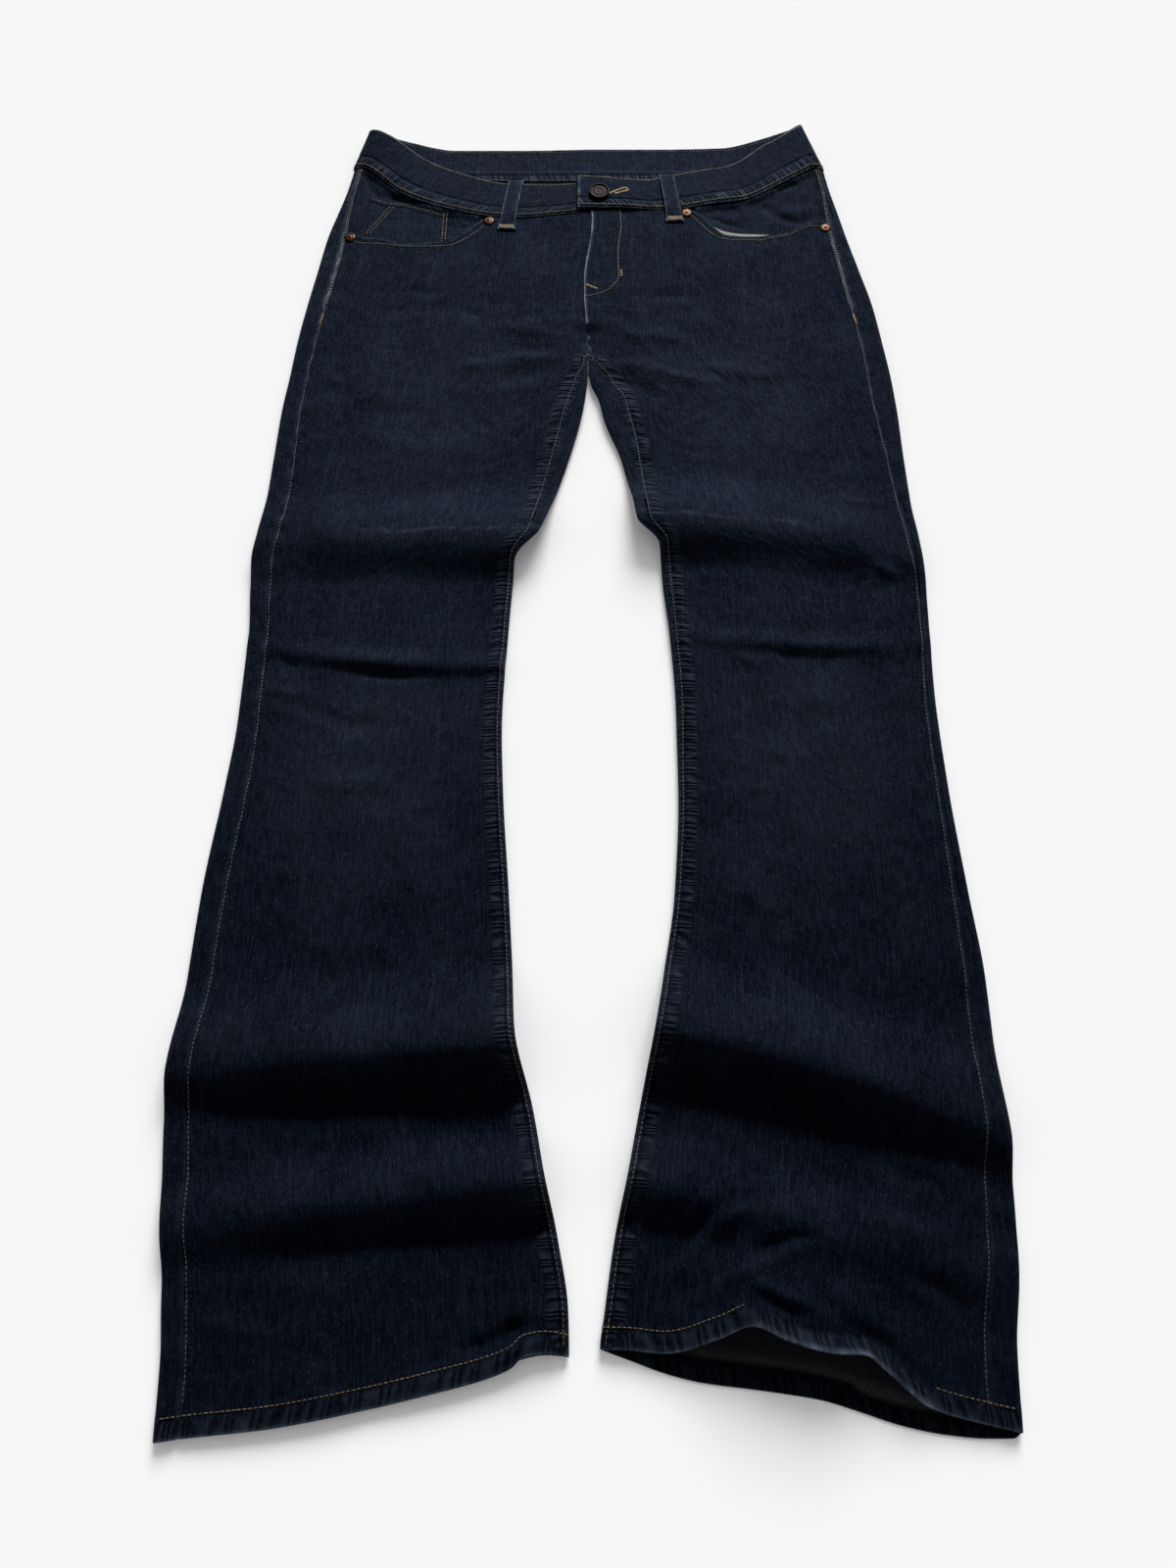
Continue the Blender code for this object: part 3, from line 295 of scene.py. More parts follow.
# height, spread above and below the line, then the line's points (world x, y)
CREASES = (
    # whiskers that run out from the crotch
    (1.5, 7, 5, (-14, 264), (-52, 262), (-96, 254), (-128, 250)),
    (1.1, 6, 5, (-10, 282), (-40, 290), (-78, 292)),
    (1.6, 7, 5, (12, 262), (46, 250), (84, 238), (112, 232)),
    (1.4, 6, 5, (16, 285), (52, 286), (92, 276)),
    (1.3, 8, 6, (96, 252), (132, 244), (170, 240)),
    (-1.4, 6, 8, (-16, 252), (-44, 246), (-78, 236)),
    (-1.6, 6, 8, (14, 248), (40, 234), (66, 214)),
    (1.2, 3.5, 6, (-84, 295), (-49, 299), (-7, 307)),
    (1.2, 3.5, 6, (8, 308), (37, 288), (59, 269)),
    (1.0, 4, 6, (72, 251), (101, 253), (129, 251)),
    (-1.3, 5, 5, (-158, 337), (-141, 335), (-126, 329)),
    (-1.3, 5, 4, (-110, 312), (-97, 309), (-82, 311)),
    (-1.0, 5, 5, (46, 326), (75, 331), (99, 326)),
    (-1.2, 5, 6, (-65, 278), (-45, 270), (-24, 273)),
    # thighs
    (1.0, 5, 5, (-222, 246), (-206, 238), (-196, 236)),
    (1.0, 5, 5, (-194, 234), (-172, 224), (-160, 222)),
    (1.0, 6, 5, (-170, 300), (-148, 304), (-134, 312)),
    (0.8, 9, 9, (-196, 186), (-130, 172), (-74, 176)),
    (0.8, 10, 9, (76, 168), (140, 176), (206, 170)),
    (-3.2, 8, 8, (0, 302), (1, 284), (2, 262)),
    (-1.0, 5, 7, (-196, 214), (-168, 206), (-140, 207)),
    # hips
    (1.3, 5, 4, (196, 352), (202, 318), (204, 292)),
    (-1.2, 4, 6, (206, 346), (212, 316), (214, 290)),
    (0.9, 6, 6, (-214, 344), (-206, 312), (-204, 286)),
    # knees
    (1.6, 4, 3, (214, 60), (228, 51), (238, 50)),
    (1.4, 4, 4, (188, 122), (212, 117), (236, 118)),
    (1.2, 6, 5, (-240, -44), (-216, -50), (-192, -52)),
    (1.4, 6, 5, (98, -12), (122, -24), (146, -20)),
    (1.0, 8, 7, (-206, -112), (-170, -122), (-128, -118)),
    (0.9, 9, 8, (110, -92), (150, -100), (196, -94)),
    (-1.3, 4, 5, (-246, -16), (-226, -20), (-206, -32)),
    (-1.0, 5, 7, (-206, -58), (-170, -74), (-134, -76)),
    (-1.2, 3, 4, (-172, -30), (-146, -36), (-122, -37)),
    (-1.1, 5, 6, (-240, -70), (-226, -72), (-212, -70)),
    # calves
    (1.6, 7, 6, (102, -190), (114, -206), (128, -222)),
    (1.5, 8, 6, (98, -236), (120, -258), (140, -282)),
    (1.1, 9, 8, (-206, -232), (-160, -240), (-112, -236)),
    (-2.6, 5, 4, (110, -396), (85, -396), (68, -412), (51, -428), (32, -446)),
    (2.4, 4, 6, (108, -401), (88, -404), (73, -415), (56, -431), (38, -448)),
    (-2.6, 5, 4, (142, -416), (120, -420), (105, -425), (95, -431)),
    (2.4, 4, 5, (142, -421), (123, -424), (106, -432), (94, -436), (73, -444), (55, -459)),
    (-2.0, 4, 4, (86, -438), (70, -441), (57, -451), (48, -462)),
    (2.2, 4, 4, (87, -433), (99, -443), (114, -451), (126, -454), (134, -451)),
    (-0.9, 4, 5, (93, -444), (107, -453), (121, -459), (135, -459)),
    (-1.6, 4, 3, (78, -369), (89, -372), (100, -378)),
    (-2.0, 5, 5, (182, -381), (204, -385), (223, -392)),
    (-3.6, 5, 4, (101, -465), (117, -469), (137, -472), (155, -473), (169, -476), (181, -489)),
    (-2.2, 7, 7, (128, -446), (150, -464), (168, -478)),
    (1.6, 8, 6, (150, -398), (184, -412), (218, -420)),
    (1.4, 9, 7, (60, -380), (40, -400), (24, -424)),
    (1.2, 8, 7, (-214, -436), (-168, -446), (-118, -444)),
    (1.3, 7, 6, (-52, -452), (-34, -460), (-18, -462)),
    (-1.8, 5, 5, (142, -470), (154, -476), (166, -482)),
    (1.2, 5, 5, (176, -440), (200, -452), (222, -470)),
    (-1.4, 5, 5, (186, -434), (206, -446), (230, -462)),
    (1.0, 5, 5, (-232, -462), (-200, -470), (-160, -474)),
    (-3.0, 4, 4, (-78, -481), (-57, -476), (-46, -469), (-32, -465)),
    (1.6, 4, 4, (-59, -487), (-44, -480), (-32, -471)),
    (1.3, 10, 8, (-222, -352), (-160, -358), (-96, -352)),
)

# ---- yarns --------------------------------------------------------------------------------------
TWILL = 0.00115           # m from one diagonal rib to the next
EVEN = (1.0, 1.0, 1.0)
# stretch of the noise, its scale, detail and roughness
YARNS = (
    ((1.0, 0.11, 1.0), 640.0, 3.0, 0.7),         # slubs of the warp
    ((1.0, 0.34, 1.0), 1250.0, 1.0, 0.5),        # the warp's own yarns
    ((0.16, 1.0, 1.0), 800.0, 2.0, 0.5),         # the weft's
    ((1.0, 0.7, 1.0), 26.0, 4.0, 0.6),           # blotches of the dye
    ((1.0, 0.5, 1.0), 700.0, 1.0, 0.5),          # pale flecks
    ((1.0, 0.035, 1.0), 420.0, 1.0, 0.5),        # long pale streaks
    (EVEN, 95.0, 3.0, 0.5),                      # crumples
)

# ---- wear ---------------------------------------------------------------------------------------
# how pale: amount, across, spread, y, spread
RUBBED = ((0.050, 130, 75, 190, 130), (0.085, 155, 75, -95, 90))
PALE = {                  # rubbed paleness at an edge, how far in; ridge: partly painted highlight
    "front_hem": (0.36, 1.5), "back_hem": (0.30, 1.5), "pocket_edge": (0.85, 1.1),
    "ridge": (0.16, 1.3), "fold": (0.05, 3.0), "band_top": (0.62, 1.5), "band_low": (0.35, 1.2),
    "band_end": (1.1, 1.3), "band_groove": (0.16, 0.022), "loop_side": (0.95, 0.9),
    "loop_end": (1.0, 1.8),
}
SEAM_PALE = 1.3           # how far in the outseam's edge is rubbed
PALE_GROOVE = BAND_GROOVE + 0.045     # share of the band's height, just above its groove
RIM_FADE = 0.10           # cut edges are paler than the faces beside them
RIM_WRONG_SIDE = 0.25     # and show a little of the inner face's weft
NO_ROPE = (0.0, 99.0, 0.0)            # along, off and strength, far from any seam

# ---- colours, linear ----------------------------------------------------------------------------
INDIGO_DEEP = (0.0040, 0.0065, 0.0160)
INDIGO = (0.0150, 0.0262, 0.0510)
INDIGO_PALE = (0.140, 0.190, 0.265)
WRONG_SIDE = (0.26, 0.27, 0.28)
TAN = (0.60, 0.46, 0.27)
PALE_THREAD = (0.37, 0.37, 0.33)
LINING = (0.52, 0.50, 0.44)
COPPER = (0.105, 0.051, 0.029)
BRONZE = (0.024, 0.017, 0.014)
BLEACHED = (0.46, 0.51, 0.57)

# ---- room, m ------------------------------------------------------------------------------------
WINDOW = (0.53, 2.95, 1.65)           # the light comes from here
CAMERA = {"place": (0.0, -0.445, 0.765), "tilt": 23.1, "lens": 27.0}
ROOM = {"floor": 6.0, "floor_z": -0.0004, "wall": 5.9, "wall_from": -0.4, "wall_to": 9.0,
        "wall_sides": 48}


# ---- curves and fields --------------------------------------------------------------------------
def smooth(table, column, at):
    """Monotone cubic through one column of a table, read at an array of places."""
    place = np.array([row[0] for row in table], dtype=float)
    value = np.array([row[column] for row in table], dtype=float)
    step = np.diff(place)
    rate = np.diff(value) / step
    same_way = rate[:-1] * rate[1:] > 0
    total = np.where(same_way, rate[:-1] + rate[1:], 1.0)
    between = np.where(same_way, 2 * rate[:-1] * rate[1:] / total, 0.0)
    slope = np.concatenate(([rate[0]], between, [rate[-1]]))
    where = np.clip(at, place[0], place[-1])
    i = np.minimum(np.searchsorted(place, where, side="right") - 1, len(step) - 1)
    t = (where - place[i]) / step[i]
    return (value[i] * (1 + 2 * t) * (1 - t) ** 2 + slope[i] * step[i] * t * (1 - t) ** 2
            + value[i + 1] * t * t * (3 - 2 * t) + slope[i + 1] * step[i] * t * t * (t - 1))


def ease(t):
    """0 to 1 with flat ends."""
    t = np.clip(t, 0.0, 1.0)
    return t * t * (3 - 2 * t)


def bell(distance, reach):
    """1 at no distance, falling away over the reach on both sides."""
    return np.exp(-(distance / reach) ** 2)


def three_way(share, outer, middle, inner):
    """From the outer value through the middle one to the inner one."""
    return np.where(share < 0.5, outer + (middle - outer) * ease(2 * share),
                    middle + (inner - middle) * ease(2 * share - 1))


def uneven(x, y, wavelength, seed, waves=9):
    """A smooth field of about -1 to 1 made of crossing waves, the same each run."""
    dice = np.random.RandomState(seed)
    total = np.zeros(np.broadcast(x, y).shape)
    for _ in range(waves):
        turn, phase = dice.uniform(0, 2 * math.pi, 2)
        length = wavelength * dice.uniform(0.7, 1.5)
        total += np.sin(2 * math.pi * (x * math.cos(turn) + y * math.sin(turn)) / length + phase)
    return total / math.sqrt(waves * 2)


def along_line(points, x, y):
    """Signed distance from a line (positive on its left) and the share of its length."""
    best = np.full(np.broadcast(x, y).shape, 1e9)
    signed, share = best.copy(), np.zeros_like(best)
    points = np.array(points, dtype=float)
    lengths = np.hypot(*np.diff(points, axis=0).T)
    before = np.concatenate(([0.0], np.cumsum(lengths)))
    for i, length in enumerate(lengths):
        dx, dy = (points[i + 1] - points[i]) / length
        ax, ay = x - points[i, 0], y - points[i, 1]
        t = np.clip(ax * dx + ay * dy, 0, length)
        off = np.hypot(ax - t * dx, ay - t * dy)
        nearer = off < best
        best = np.where(nearer, off, best)
        signed = np.where(nearer, np.where(dx * ay - dy * ax >= 0, off, -off), signed)
        share = np.where(nearer, (before[i] + t) / before[-1], share)
    return signed, share


def crease_lift(x, y):
    """All listed creases, and the slow unevenness of cloth that has been handled."""
    lift = sum(height * uneven(x, y, length, seed) for height, length, seed in HANDLED)
    for height, above, below, *points in CREASES:
        low = np.min(points, axis=0) - CREASE_MARGIN
        high = np.max(points, axis=0) + CREASE_MARGIN
        near = (x > low[0]) & (x < high[0]) & (y > low[1]) & (y < high[1])
        if not near.any():
            continue
        off, share = along_line(points, x[near], y[near])
        ends = ease(share / CREASE_ENDS) * ease((1 - share) / CREASE_ENDS)
        lift[near] += CREASE_DEPTH * height * bell(off, np.where(off > 0, above, below)) * ends
    return lift


# ---- the body of the jeans as a surface ---------------------------------------------------------
def ridge_lift(side, share, y, back=False):
    """Height that the leg's ridges add; share is 0 at the outer fold and 1 at the inner one."""
    lift = np.zeros(np.broadcast(share, y).shape)
    for outer_y, inner_y, bow, high_out, high_mid, high_in, up, down, of_back in LEG_RIDGES[side]:
        crest = outer_y + (inner_y - outer_y) * share + bow * 4 * share * (1 - share)
        away = (y - crest) / np.where(y > crest, up, down)
        bump = np.where(np.abs(away) < 1, 0.5 + 0.5 * np.cos(math.pi * away), 0.0)
        lift += three_way(share, high_out, high_mid, high_in) * bump * (of_back if back else 1)
    return lift


def seat(y):
    """How far the back stands off the floor."""
    return SEAT_LIFT * ease((y - SEAT_FROM) / (SEAT_TO - SEAT_FROM))


def loft(across, y):
    """Outside to outside of the two layers where they lie flat."""
    full = LEG_LOFT + (HIP_LOFT - LEG_LOFT) * ease((y - HIP_RISE[0]) / (HIP_RISE[1] - HIP_RISE[0]))
    near = bell(across, CROTCH_REACH[0]) * bell(y - CROTCH_Y, CROTCH_REACH[1])
    return full + (CROTCH_LOFT - full) * near


def outer_fold(side, y):
    return smooth(LEG_SECTIONS[side], OUTER, y)


def inner_fold(side, y):
    """Across of the leg's inner fold; above the crotch it is the middle line."""
    return np.where(y < CROTCH_Y, smooth(LEG_SECTIONS[side], INNER, y), GAP / 2)


def outseam(side, y):
    return outer_fold(side, y) - smooth(LEG_SECTIONS[side], OUTSEAM, y)


def inseam(side, y):
    """Across of the inseam; above the crotch it runs to the fork on the middle line."""
    low = np.minimum(y, CROTCH_Y)
    on_leg = smooth(LEG_SECTIONS[side], INNER, low) + smooth(LEG_SECTIONS[side], INSEAM, low)
    to_fork = np.clip((y - CROTCH_Y) / (FORK_Y - CROTCH_Y), 0, 1)
    narrowest = inner_fold(side, low) + EDGE_ROUND + 3 * GAP
    last = np.clip((FORK_Y - y) / (FORK_Y - TUBE_END), 0, 1)
    return np.maximum((1 - to_fork) * on_leg, narrowest) * last


SEAMS = {"outseam": outseam, "inseam": inseam}


def height(side, across, y, top, outer=None, inner=None):
    """Outside of the top or the bottom layer, rounded down at the folded edges."""
    outer = outer_fold(side, y) if outer is None else outer
    inner = inner_fold(side, y) if inner is None else inner
    share = np.clip((outer - across) / (outer - inner), 0, 1)
    low = seat(y) + ridge_lift(side, share, y, True)
    high = seat(y) + loft(across, y) + ridge_lift(side, share, y)
    edge = np.where(y < TUBE_END, np.minimum(outer - across, across - inner), outer - across)
    round_in = 1 - np.clip(edge / EDGE_ROUND, 0, 1)
    full = np.sqrt(np.maximum(0.0, 1 - round_in ** 2))
    middle = (low + high) / 2
    relief = crease_lift(across * SIDES[side], y) + pucker_lift(side, across, y)
    waist, least, reach = CALM_WAIST
    calm = ease((edge - 1) / CALM_EDGE) * ease((np.abs(y - waist) + least) / reach)
    high = high + relief * calm
    return np.where(top, middle + (high - middle) * full, middle - (middle - low) * full)


def pucker_lift(side, across, y):
    """Ripples that cross the outseam and the inseam, as uneven as their stitching pulled them."""
    lift = np.zeros(np.broadcast(across, y).shape)
    for seam, depth, reach, seed in PUCKERS:
        off = across - SEAMS[seam](side, y)
        waves = uneven(PUCKER_SLANT * off, y, PUCKER_LENGTH, seed + SIDES[side])
        lift += depth * waves * bell(off, reach)
    return lift * (y < PUCKER_TOP)


def front_height(side, across, y, outer=None, inner=None):
    """The front's outside: the top layer with the hem's turning, its arch and the fly's lap."""
    hem = FRONT_HEM[side]
    above_hem = y - smooth(hem, 1, across)
    z = height(side, across, y, True, outer, inner)
    z = z + smooth(hem, 2, across) * (1 - ease(above_hem / HEM_ARCH_REACH))
    z = z + HEM_EXTRA * turned_hem(above_hem)
    if side == "left":
        low, high = STANDING_HEM
        standing = ease((across - low) / 14) * ease((high - across) / 14)
        z = z + standing * (2.2 * bell(above_hem, 4) - 2.4 * bell(above_hem - HEM_DEPTH, 7))
        z = z + FLY_RISE * ease((y - FLY_BOTTOM) / 22) * (1 - ease((across - FLY_WIDTH) / 5))
    return z


def turned_hem(above_hem):
    """1 on the hem's turning and 0 above it."""
    return 1 - ease((above_hem - HEM_DEPTH + HEM_ROW_IN) / 3)


# ---- making meshes ------------------------------------------------------------------------------
def unit(vectors):
    return vectors / np.maximum(np.linalg.norm(vectors, axis=-1, keepdims=True), 1e-12)


def grid_normals(points, flip):
    """Normals of a grid of points, turned over where flip is set."""
    down, along = np.gradient(points, axis=0), np.gradient(points, axis=1)
    normal = unit(np.cross(down, along))
    return -normal if flip else normal


def rim_indices(rows, columns):
    """The grid's border, once round."""
    index = np.arange(rows * columns).reshape(rows, columns)
    return np.concatenate((index[0, :], index[1:, -1], index[-1, -2::-1], index[-2:0:-1, 0]))


def shell_faces(rows, columns, border, flip):
    """The outer and the inner face of a wall, and two bands of faces round its rim."""
    count = rows * columns
    index = np.arange(count).reshape(rows, columns)
    quads = np.stack((index[:-1, :-1], index[1:, :-1], index[1:, 1:], index[:-1, 1:]), -1)
    quads = quads.reshape(-1, 4)
    rim = 2 * count + np.arange(len(border))
    following, bordering = np.roll(rim, -1), np.roll(border, -1)
    upper = np.stack((border, bordering, following, rim), -1)
    lower = np.stack((rim, following, bordering + count, border + count), -1)
    sides = np.concatenate((upper, lower))
    if flip:
        quads = quads[:, ::-1]
    else:
        sides = sides[:, ::-1]
    return np.concatenate((quads, quads[:, ::-1] + count, sides))


def shell_rim(outer, inner, normal, border, wall):
    """Points that bulge out along the middle of the wall's cut edge."""
    middle = (outer[border] + inner[border]) / 2
    outward = unit(np.cross(np.roll(middle, -1, 0) - np.roll(middle, 1, 0), normal[border]))
    if np.sum(outward * (middle - middle.mean(axis=0)), axis=1).mean() <= 0:
        outward = -outward
    return middle + outward * wall * RIM_ROUND


def shell(name, points, wall, flip, fade, rope, wrong_side):
    """A wall of cloth on a grid of outer points (mm), with rounded rims.

    fade says how pale the cloth is: dye rubbed pale, and painted highlight on the leg's ridges and
    the standing hem; rope is along, off and strength of the ribs by a seam, and wrong_side says
    how far the inner face shows the weft, which takes no dye, kept lower deep in the back panels
    as painted shade.
    """
    rows, columns = points.shape[:2]
    normal = grid_normals(points, flip)
    border = rim_indices(rows, columns)
    outer, inner = points.reshape(-1, 3), (points - normal * wall).reshape(-1, 3)
    rim = shell_rim(outer, inner, normal.reshape(-1, 3), border, wall)
    mesh = bpy.data.meshes.new(name)
    mesh.from_pydata((np.concatenate((outer, inner, rim)) * MM).tolist(), [],
                     shell_faces(rows, columns, border, flip).tolist())
    mesh.polygons.foreach_set("use_smooth", [True] * len(mesh.polygons))
    where = grid_lengths(points).reshape(-1, 2)
    add_values(mesh, "cloth_uv", np.concatenate((where, where, where[border])), True)
    undyed_and_shade = np.broadcast_to(wrong_side, (rows, columns)).reshape(-1)
    add_values(mesh, "wrong_side", np.concatenate((np.zeros(len(outer)), undyed_and_shade,
                                                   RIM_WRONG_SIDE * undyed_and_shade[border])))
    fade = np.broadcast_to(fade, (rows, columns)).reshape(-1)
    add_values(mesh, "fade", np.concatenate((fade, fade, fade[border] + RIM_FADE)))
    rope = np.broadcast_to(rope, (rows, columns, 3)).reshape(-1, 3)
    add_values(mesh, "rope", np.concatenate((rope, rope, rope[border])))
    return placed(name, mesh)


def placed(name, data):
    """A mesh, a lamp or a camera as an object of the scene."""
    piece = bpy.data.objects.new(name, data)
    bpy.context.scene.collection.objects.link(piece)
    return piece


def grid_lengths(points):
    """Metres across and along the cloth at each point of a grid, measured over the cloth."""
    steps = np.linalg.norm(np.diff(points, axis=1), axis=2)
    across = np.concatenate((np.zeros((len(points), 1)), np.cumsum(steps, axis=1)), axis=1)
    across = across - across.mean(axis=1, keepdims=True)
    down = np.linalg.norm(np.diff(points, axis=0), axis=2)
    along = np.concatenate((np.zeros((1, points.shape[1])), np.cumsum(down, axis=0)), axis=0)
    return np.stack((across, -along), -1) * MM


def add_values(mesh, name, values, as_uv=False):
    """Values per vertex: a UV map, a vector attribute or a plain one."""
    if as_uv:
        corner = np.zeros(len(mesh.loops), dtype=np.int32)
        mesh.loops.foreach_get("vertex_index", corner)
        layer = mesh.uv_layers.new(name=name)
        layer.data.foreach_set("uv", values[corner].astype(np.float32).ravel())
        return
    kind, field = ("FLOAT_VECTOR", "vector") if values.ndim == 2 else ("FLOAT", "value")
    layer = mesh.attributes.new(name, kind, "POINT")
    layer.data.foreach_set(field, values.astype(np.float32).ravel())


# ---- node trees ---------------------------------------------------------------------------------
class Tree:
    """A short hand for a node tree: each call adds a node and returns one of its outputs."""

    def __init__(self, tree):
        self.tree = tree

    def add(self, kind, out=0, settings=(), **inputs):
        node = self.tree.nodes.new(kind)
        for key, value in settings:
            setattr(node, key, value)
        for key, value in inputs.items():
            self.feed(node, key, value)
        return node.outputs[out]

    def feed(self, node, key, value):
        names = {"i" + str(n): n for n in range(12)}
        socket = node.inputs[names.get(key, key.replace("_", " "))]
        if isinstance(value, bpy.types.NodeSocket):
            self.tree.links.new(value, socket)
        else:
            socket.default_value = value

    def math(self, operation, a, b=0.0, clamp=False):
        return self.add("ShaderNodeMath", 0, (("operation", operation), ("use_clamp", clamp)),
                        i0=a, i1=b)

    def plus(self, a, b, clamp=False):
        return self.math("ADD", a, b, clamp)

    def times(self, a, b):
        return self.math("MULTIPLY", a, b)

    def split(self, vector):
        """The three numbers of a vector."""
        node = self.tree.nodes.new("ShaderNodeSeparateXYZ")
        self.feed(node, "i0", vector)
        return tuple(node.outputs)

    def value(self, name, out="Fac"):
        """What a mesh's attribute of that name says."""
        return self.add("ShaderNodeAttribute", out, (("attribute_name", name),))

    def mix(self, share, a, b):
        """A colour between two colours."""
        return self.add("ShaderNodeMix", 2, (("data_type", "RGBA"),), i0=share,
                        i6=colour(a), i7=colour(b))

    def step(self, value, low, high):
        """0 below low and 1 above high, with an eased rise between them."""
        return self.add("ShaderNodeMapRange", 0, (("interpolation_type", "SMOOTHSTEP"),),
                        i0=value, i1=low, i2=high)

    def noise(self, place, stretch, scale, detail=2.0, roughness=0.5):
        """Noise over places that are stretched first."""
        moved = self.add("ShaderNodeMapping", 0, (), Vector=place, Scale=stretch)
        return self.add("ShaderNodeTexNoise", 0, (), Vector=moved, Scale=scale, Detail=detail,
                        Roughness=roughness)

    def bump(self, height, strength, depth, under=None):
        """Relief of so many metres, laid over the relief under it."""
        more = {} if under is None else {"Normal": under}
        return self.add("ShaderNodeBump", 0, (), Strength=strength, Distance=depth, Height=height,
                        **more)


def shaded(tint, share):
    """A colour with only a share of its light."""
    return tuple(share * part for part in tint)


def colour(value):
    return value if isinstance(value, bpy.types.NodeSocket) else (*value, 1.0)


def new_finish(name, roughness, metallic=0.0, sheen=0.0):
    """A material, its node tree and its shader."""
    made = bpy.data.materials.new(name)
    made.use_nodes = True
    tree = Tree(made.node_tree)
    shader = made.node_tree.nodes["Principled BSDF"]
    shader.inputs["Roughness"].default_value = roughness
    shader.inputs["Metallic"].default_value = metallic
    shader.inputs["Sheen Weight"].default_value = sheen
    return made, tree, shader


def denim_finish():
    """Indigo right-hand twill: dark warp with slubs, pale weft flecks, pale where it rubs,
    and painted highlight on the leg's ridges and the standing hem.
    """
    made, tree, shader = new_finish("raw_denim", 0.9, sheen=0.012)
    shader.inputs["Sheen Roughness"].default_value = 0.6
    shader.inputs["Specular IOR Level"].default_value = 0.04
    plus, times = tree.plus, tree.times
    uv = tree.add("ShaderNodeUVMap", 0, (("uv_map", "cloth_uv"),))
    across, along, _ = tree.split(uv)
    fade, wrong_and_shade = tree.value("fade"), tree.value("wrong_side")
    twill = tree.math("SINE", times(plus(across, along), 2 * math.pi / TWILL))
    slub, warp, weft, blotch, fleck, streak, crumple = (tree.noise(uv, *row) for row in YARNS)
    ribs, rib_pale, by_seam = roping(tree)
    # how dark the indigo is
    body = plus(tree.step(slub, 0.36, 0.66), times(blotch, 0.75))
    body = plus(body, times(tree.math("SUBTRACT", warp, 0.5), 2.1))
    body = plus(body, times(tree.step(streak, 0.60, 0.72), 0.75))
    body = tree.math("SUBTRACT", body, plus(times(by_seam, 0.45), 0.45))
    dark = tree.mix(plus(body, 0.0, True), INDIGO_DEEP, INDIGO)
    # how far the dye is rubbed, with the painted highlight on ridges and the standing hem
    dye_wear_and_highlight = times(fade, plus(times(slub, 1.3), 0.35))
    speck = times(tree.step(fleck, 0.62, 0.72), plus(times(fade, 0.5), 0.17))
    faced = tree.mix(plus(plus(dye_wear_and_highlight, speck), rib_pale, True), dark, INDIGO_PALE)
    faced = tree.mix(tree.step(dye_wear_and_highlight, 0.6, 1.7), faced, BLEACHED)
    inside = tree.mix(tree.step(plus(warp, times(twill, 0.12)), 0.35, 0.7),
                      shaded(WRONG_SIDE, 0.5), WRONG_SIDE)
    # inner face: on the back panels its low share up the leg is painted shade
    tree.feed(shader, "Base Color", tree.mix(wrong_and_shade, faced, inside))
    # relief
    yarns = plus(times(twill, 0.35), times(warp, 1.2))
    yarns = plus(yarns, times(plus(slub, weft), 0.9))
    crumpled = tree.bump(crumple, 0.8, 0.0024)
    roped = tree.bump(ribs, 0.8, 0.0016, crumpled)
    tree.feed(shader, "Normal", tree.bump(yarns, 0.55, 0.00028, roped))
    return made


def roping(tree):
    """Ribs beside seams, how pale they are and how near; from mm along, mm off and strength."""
    plus, times = tree.plus, tree.times
    along, off, strength = tree.split(tree.value("rope", "Vector"))
    wander = tree.add("ShaderNodeTexNoise", 0, (("noise_dimensions", "1D"),), W=along, Scale=0.09,
                      Detail=1.0)
    count = plus(times(along, 0.23), times(off, 0.05))
    count = plus(count, times(wander, 4.2))
    rib = tree.math("SINE", times(count, 2 * math.pi))
    rib = plus(times(rib, 0.5), 0.5)
    near = times(tree.step(off, 8.0, 4.0), strength)
    lit = times(times(rib, near), plus(wander, 0.1))
    return times(rib, near), times(lit, 0.34), near


def thread_finish(name, tint):
    """Cotton thread, twisted."""
    made, tree, shader = new_finish(name, 0.7, sheen=0.1)
    place = tree.add("ShaderNodeTexCoord", "Object")
    shade = tree.step(tree.noise(place, EVEN, 260.0, 2.0), 0.3, 0.7)
    tree.feed(shader, "Base Color", tree.mix(shade, shaded(tint, 0.55), tint))
    tree.feed(shader, "Normal", tree.bump(tree.noise(place, EVEN, 2600.0, 0.0), 0.4, 0.0002))
    return made


def lining_finish():
    """Plain cotton pocketing."""
    made, tree, shader = new_finish("pocketing", 0.92, sheen=0.1)
    uv = tree.add("ShaderNodeUVMap", 0, (("uv_map", "cloth_uv"),))
    soil = tree.step(tree.noise(uv, EVEN, 60.0, 3.0), 0.3, 0.75)
    tree.feed(shader, "Base Color", tree.mix(soil, shaded(LINING, 0.72), LINING))
    tree.feed(shader, "Normal", tree.bump(tree.noise(uv, EVEN, 1500.0, 1.0), 0.4, 0.0003))
    return made


def metal_finish(name, tint, roughness):
    """Aged metal: darker in patches and a little scratched."""
    made, tree, shader = new_finish(name, roughness, metallic=1.0)
    place = tree.add("ShaderNodeTexCoord", "Object")
    age = tree.noise(place, EVEN, 420.0, 4.0, 0.6)
    tree.feed(shader, "Base Color", tree.mix(tree.step(age, 0.35, 0.7), shaded(tint, 0.35), tint))
    tree.feed(shader, "Roughness", tree.add("ShaderNodeMapRange", 0, (), i0=age,
                                            i3=roughness - 0.1, i4=roughness + 0.2))
    return made


FINISH = {}


def make_finishes():
    FINISH["denim"] = denim_finish()
    FINISH["tan"] = thread_finish("tan_thread", TAN)
    FINISH["pale"] = thread_finish("pale_thread", PALE_THREAD)
    FINISH["lining"] = lining_finish()
    FINISH["copper"] = metal_finish("aged_copper", COPPER, 0.38)
    FINISH["bronze"] = metal_finish("dark_bronze", BRONZE, 0.5)


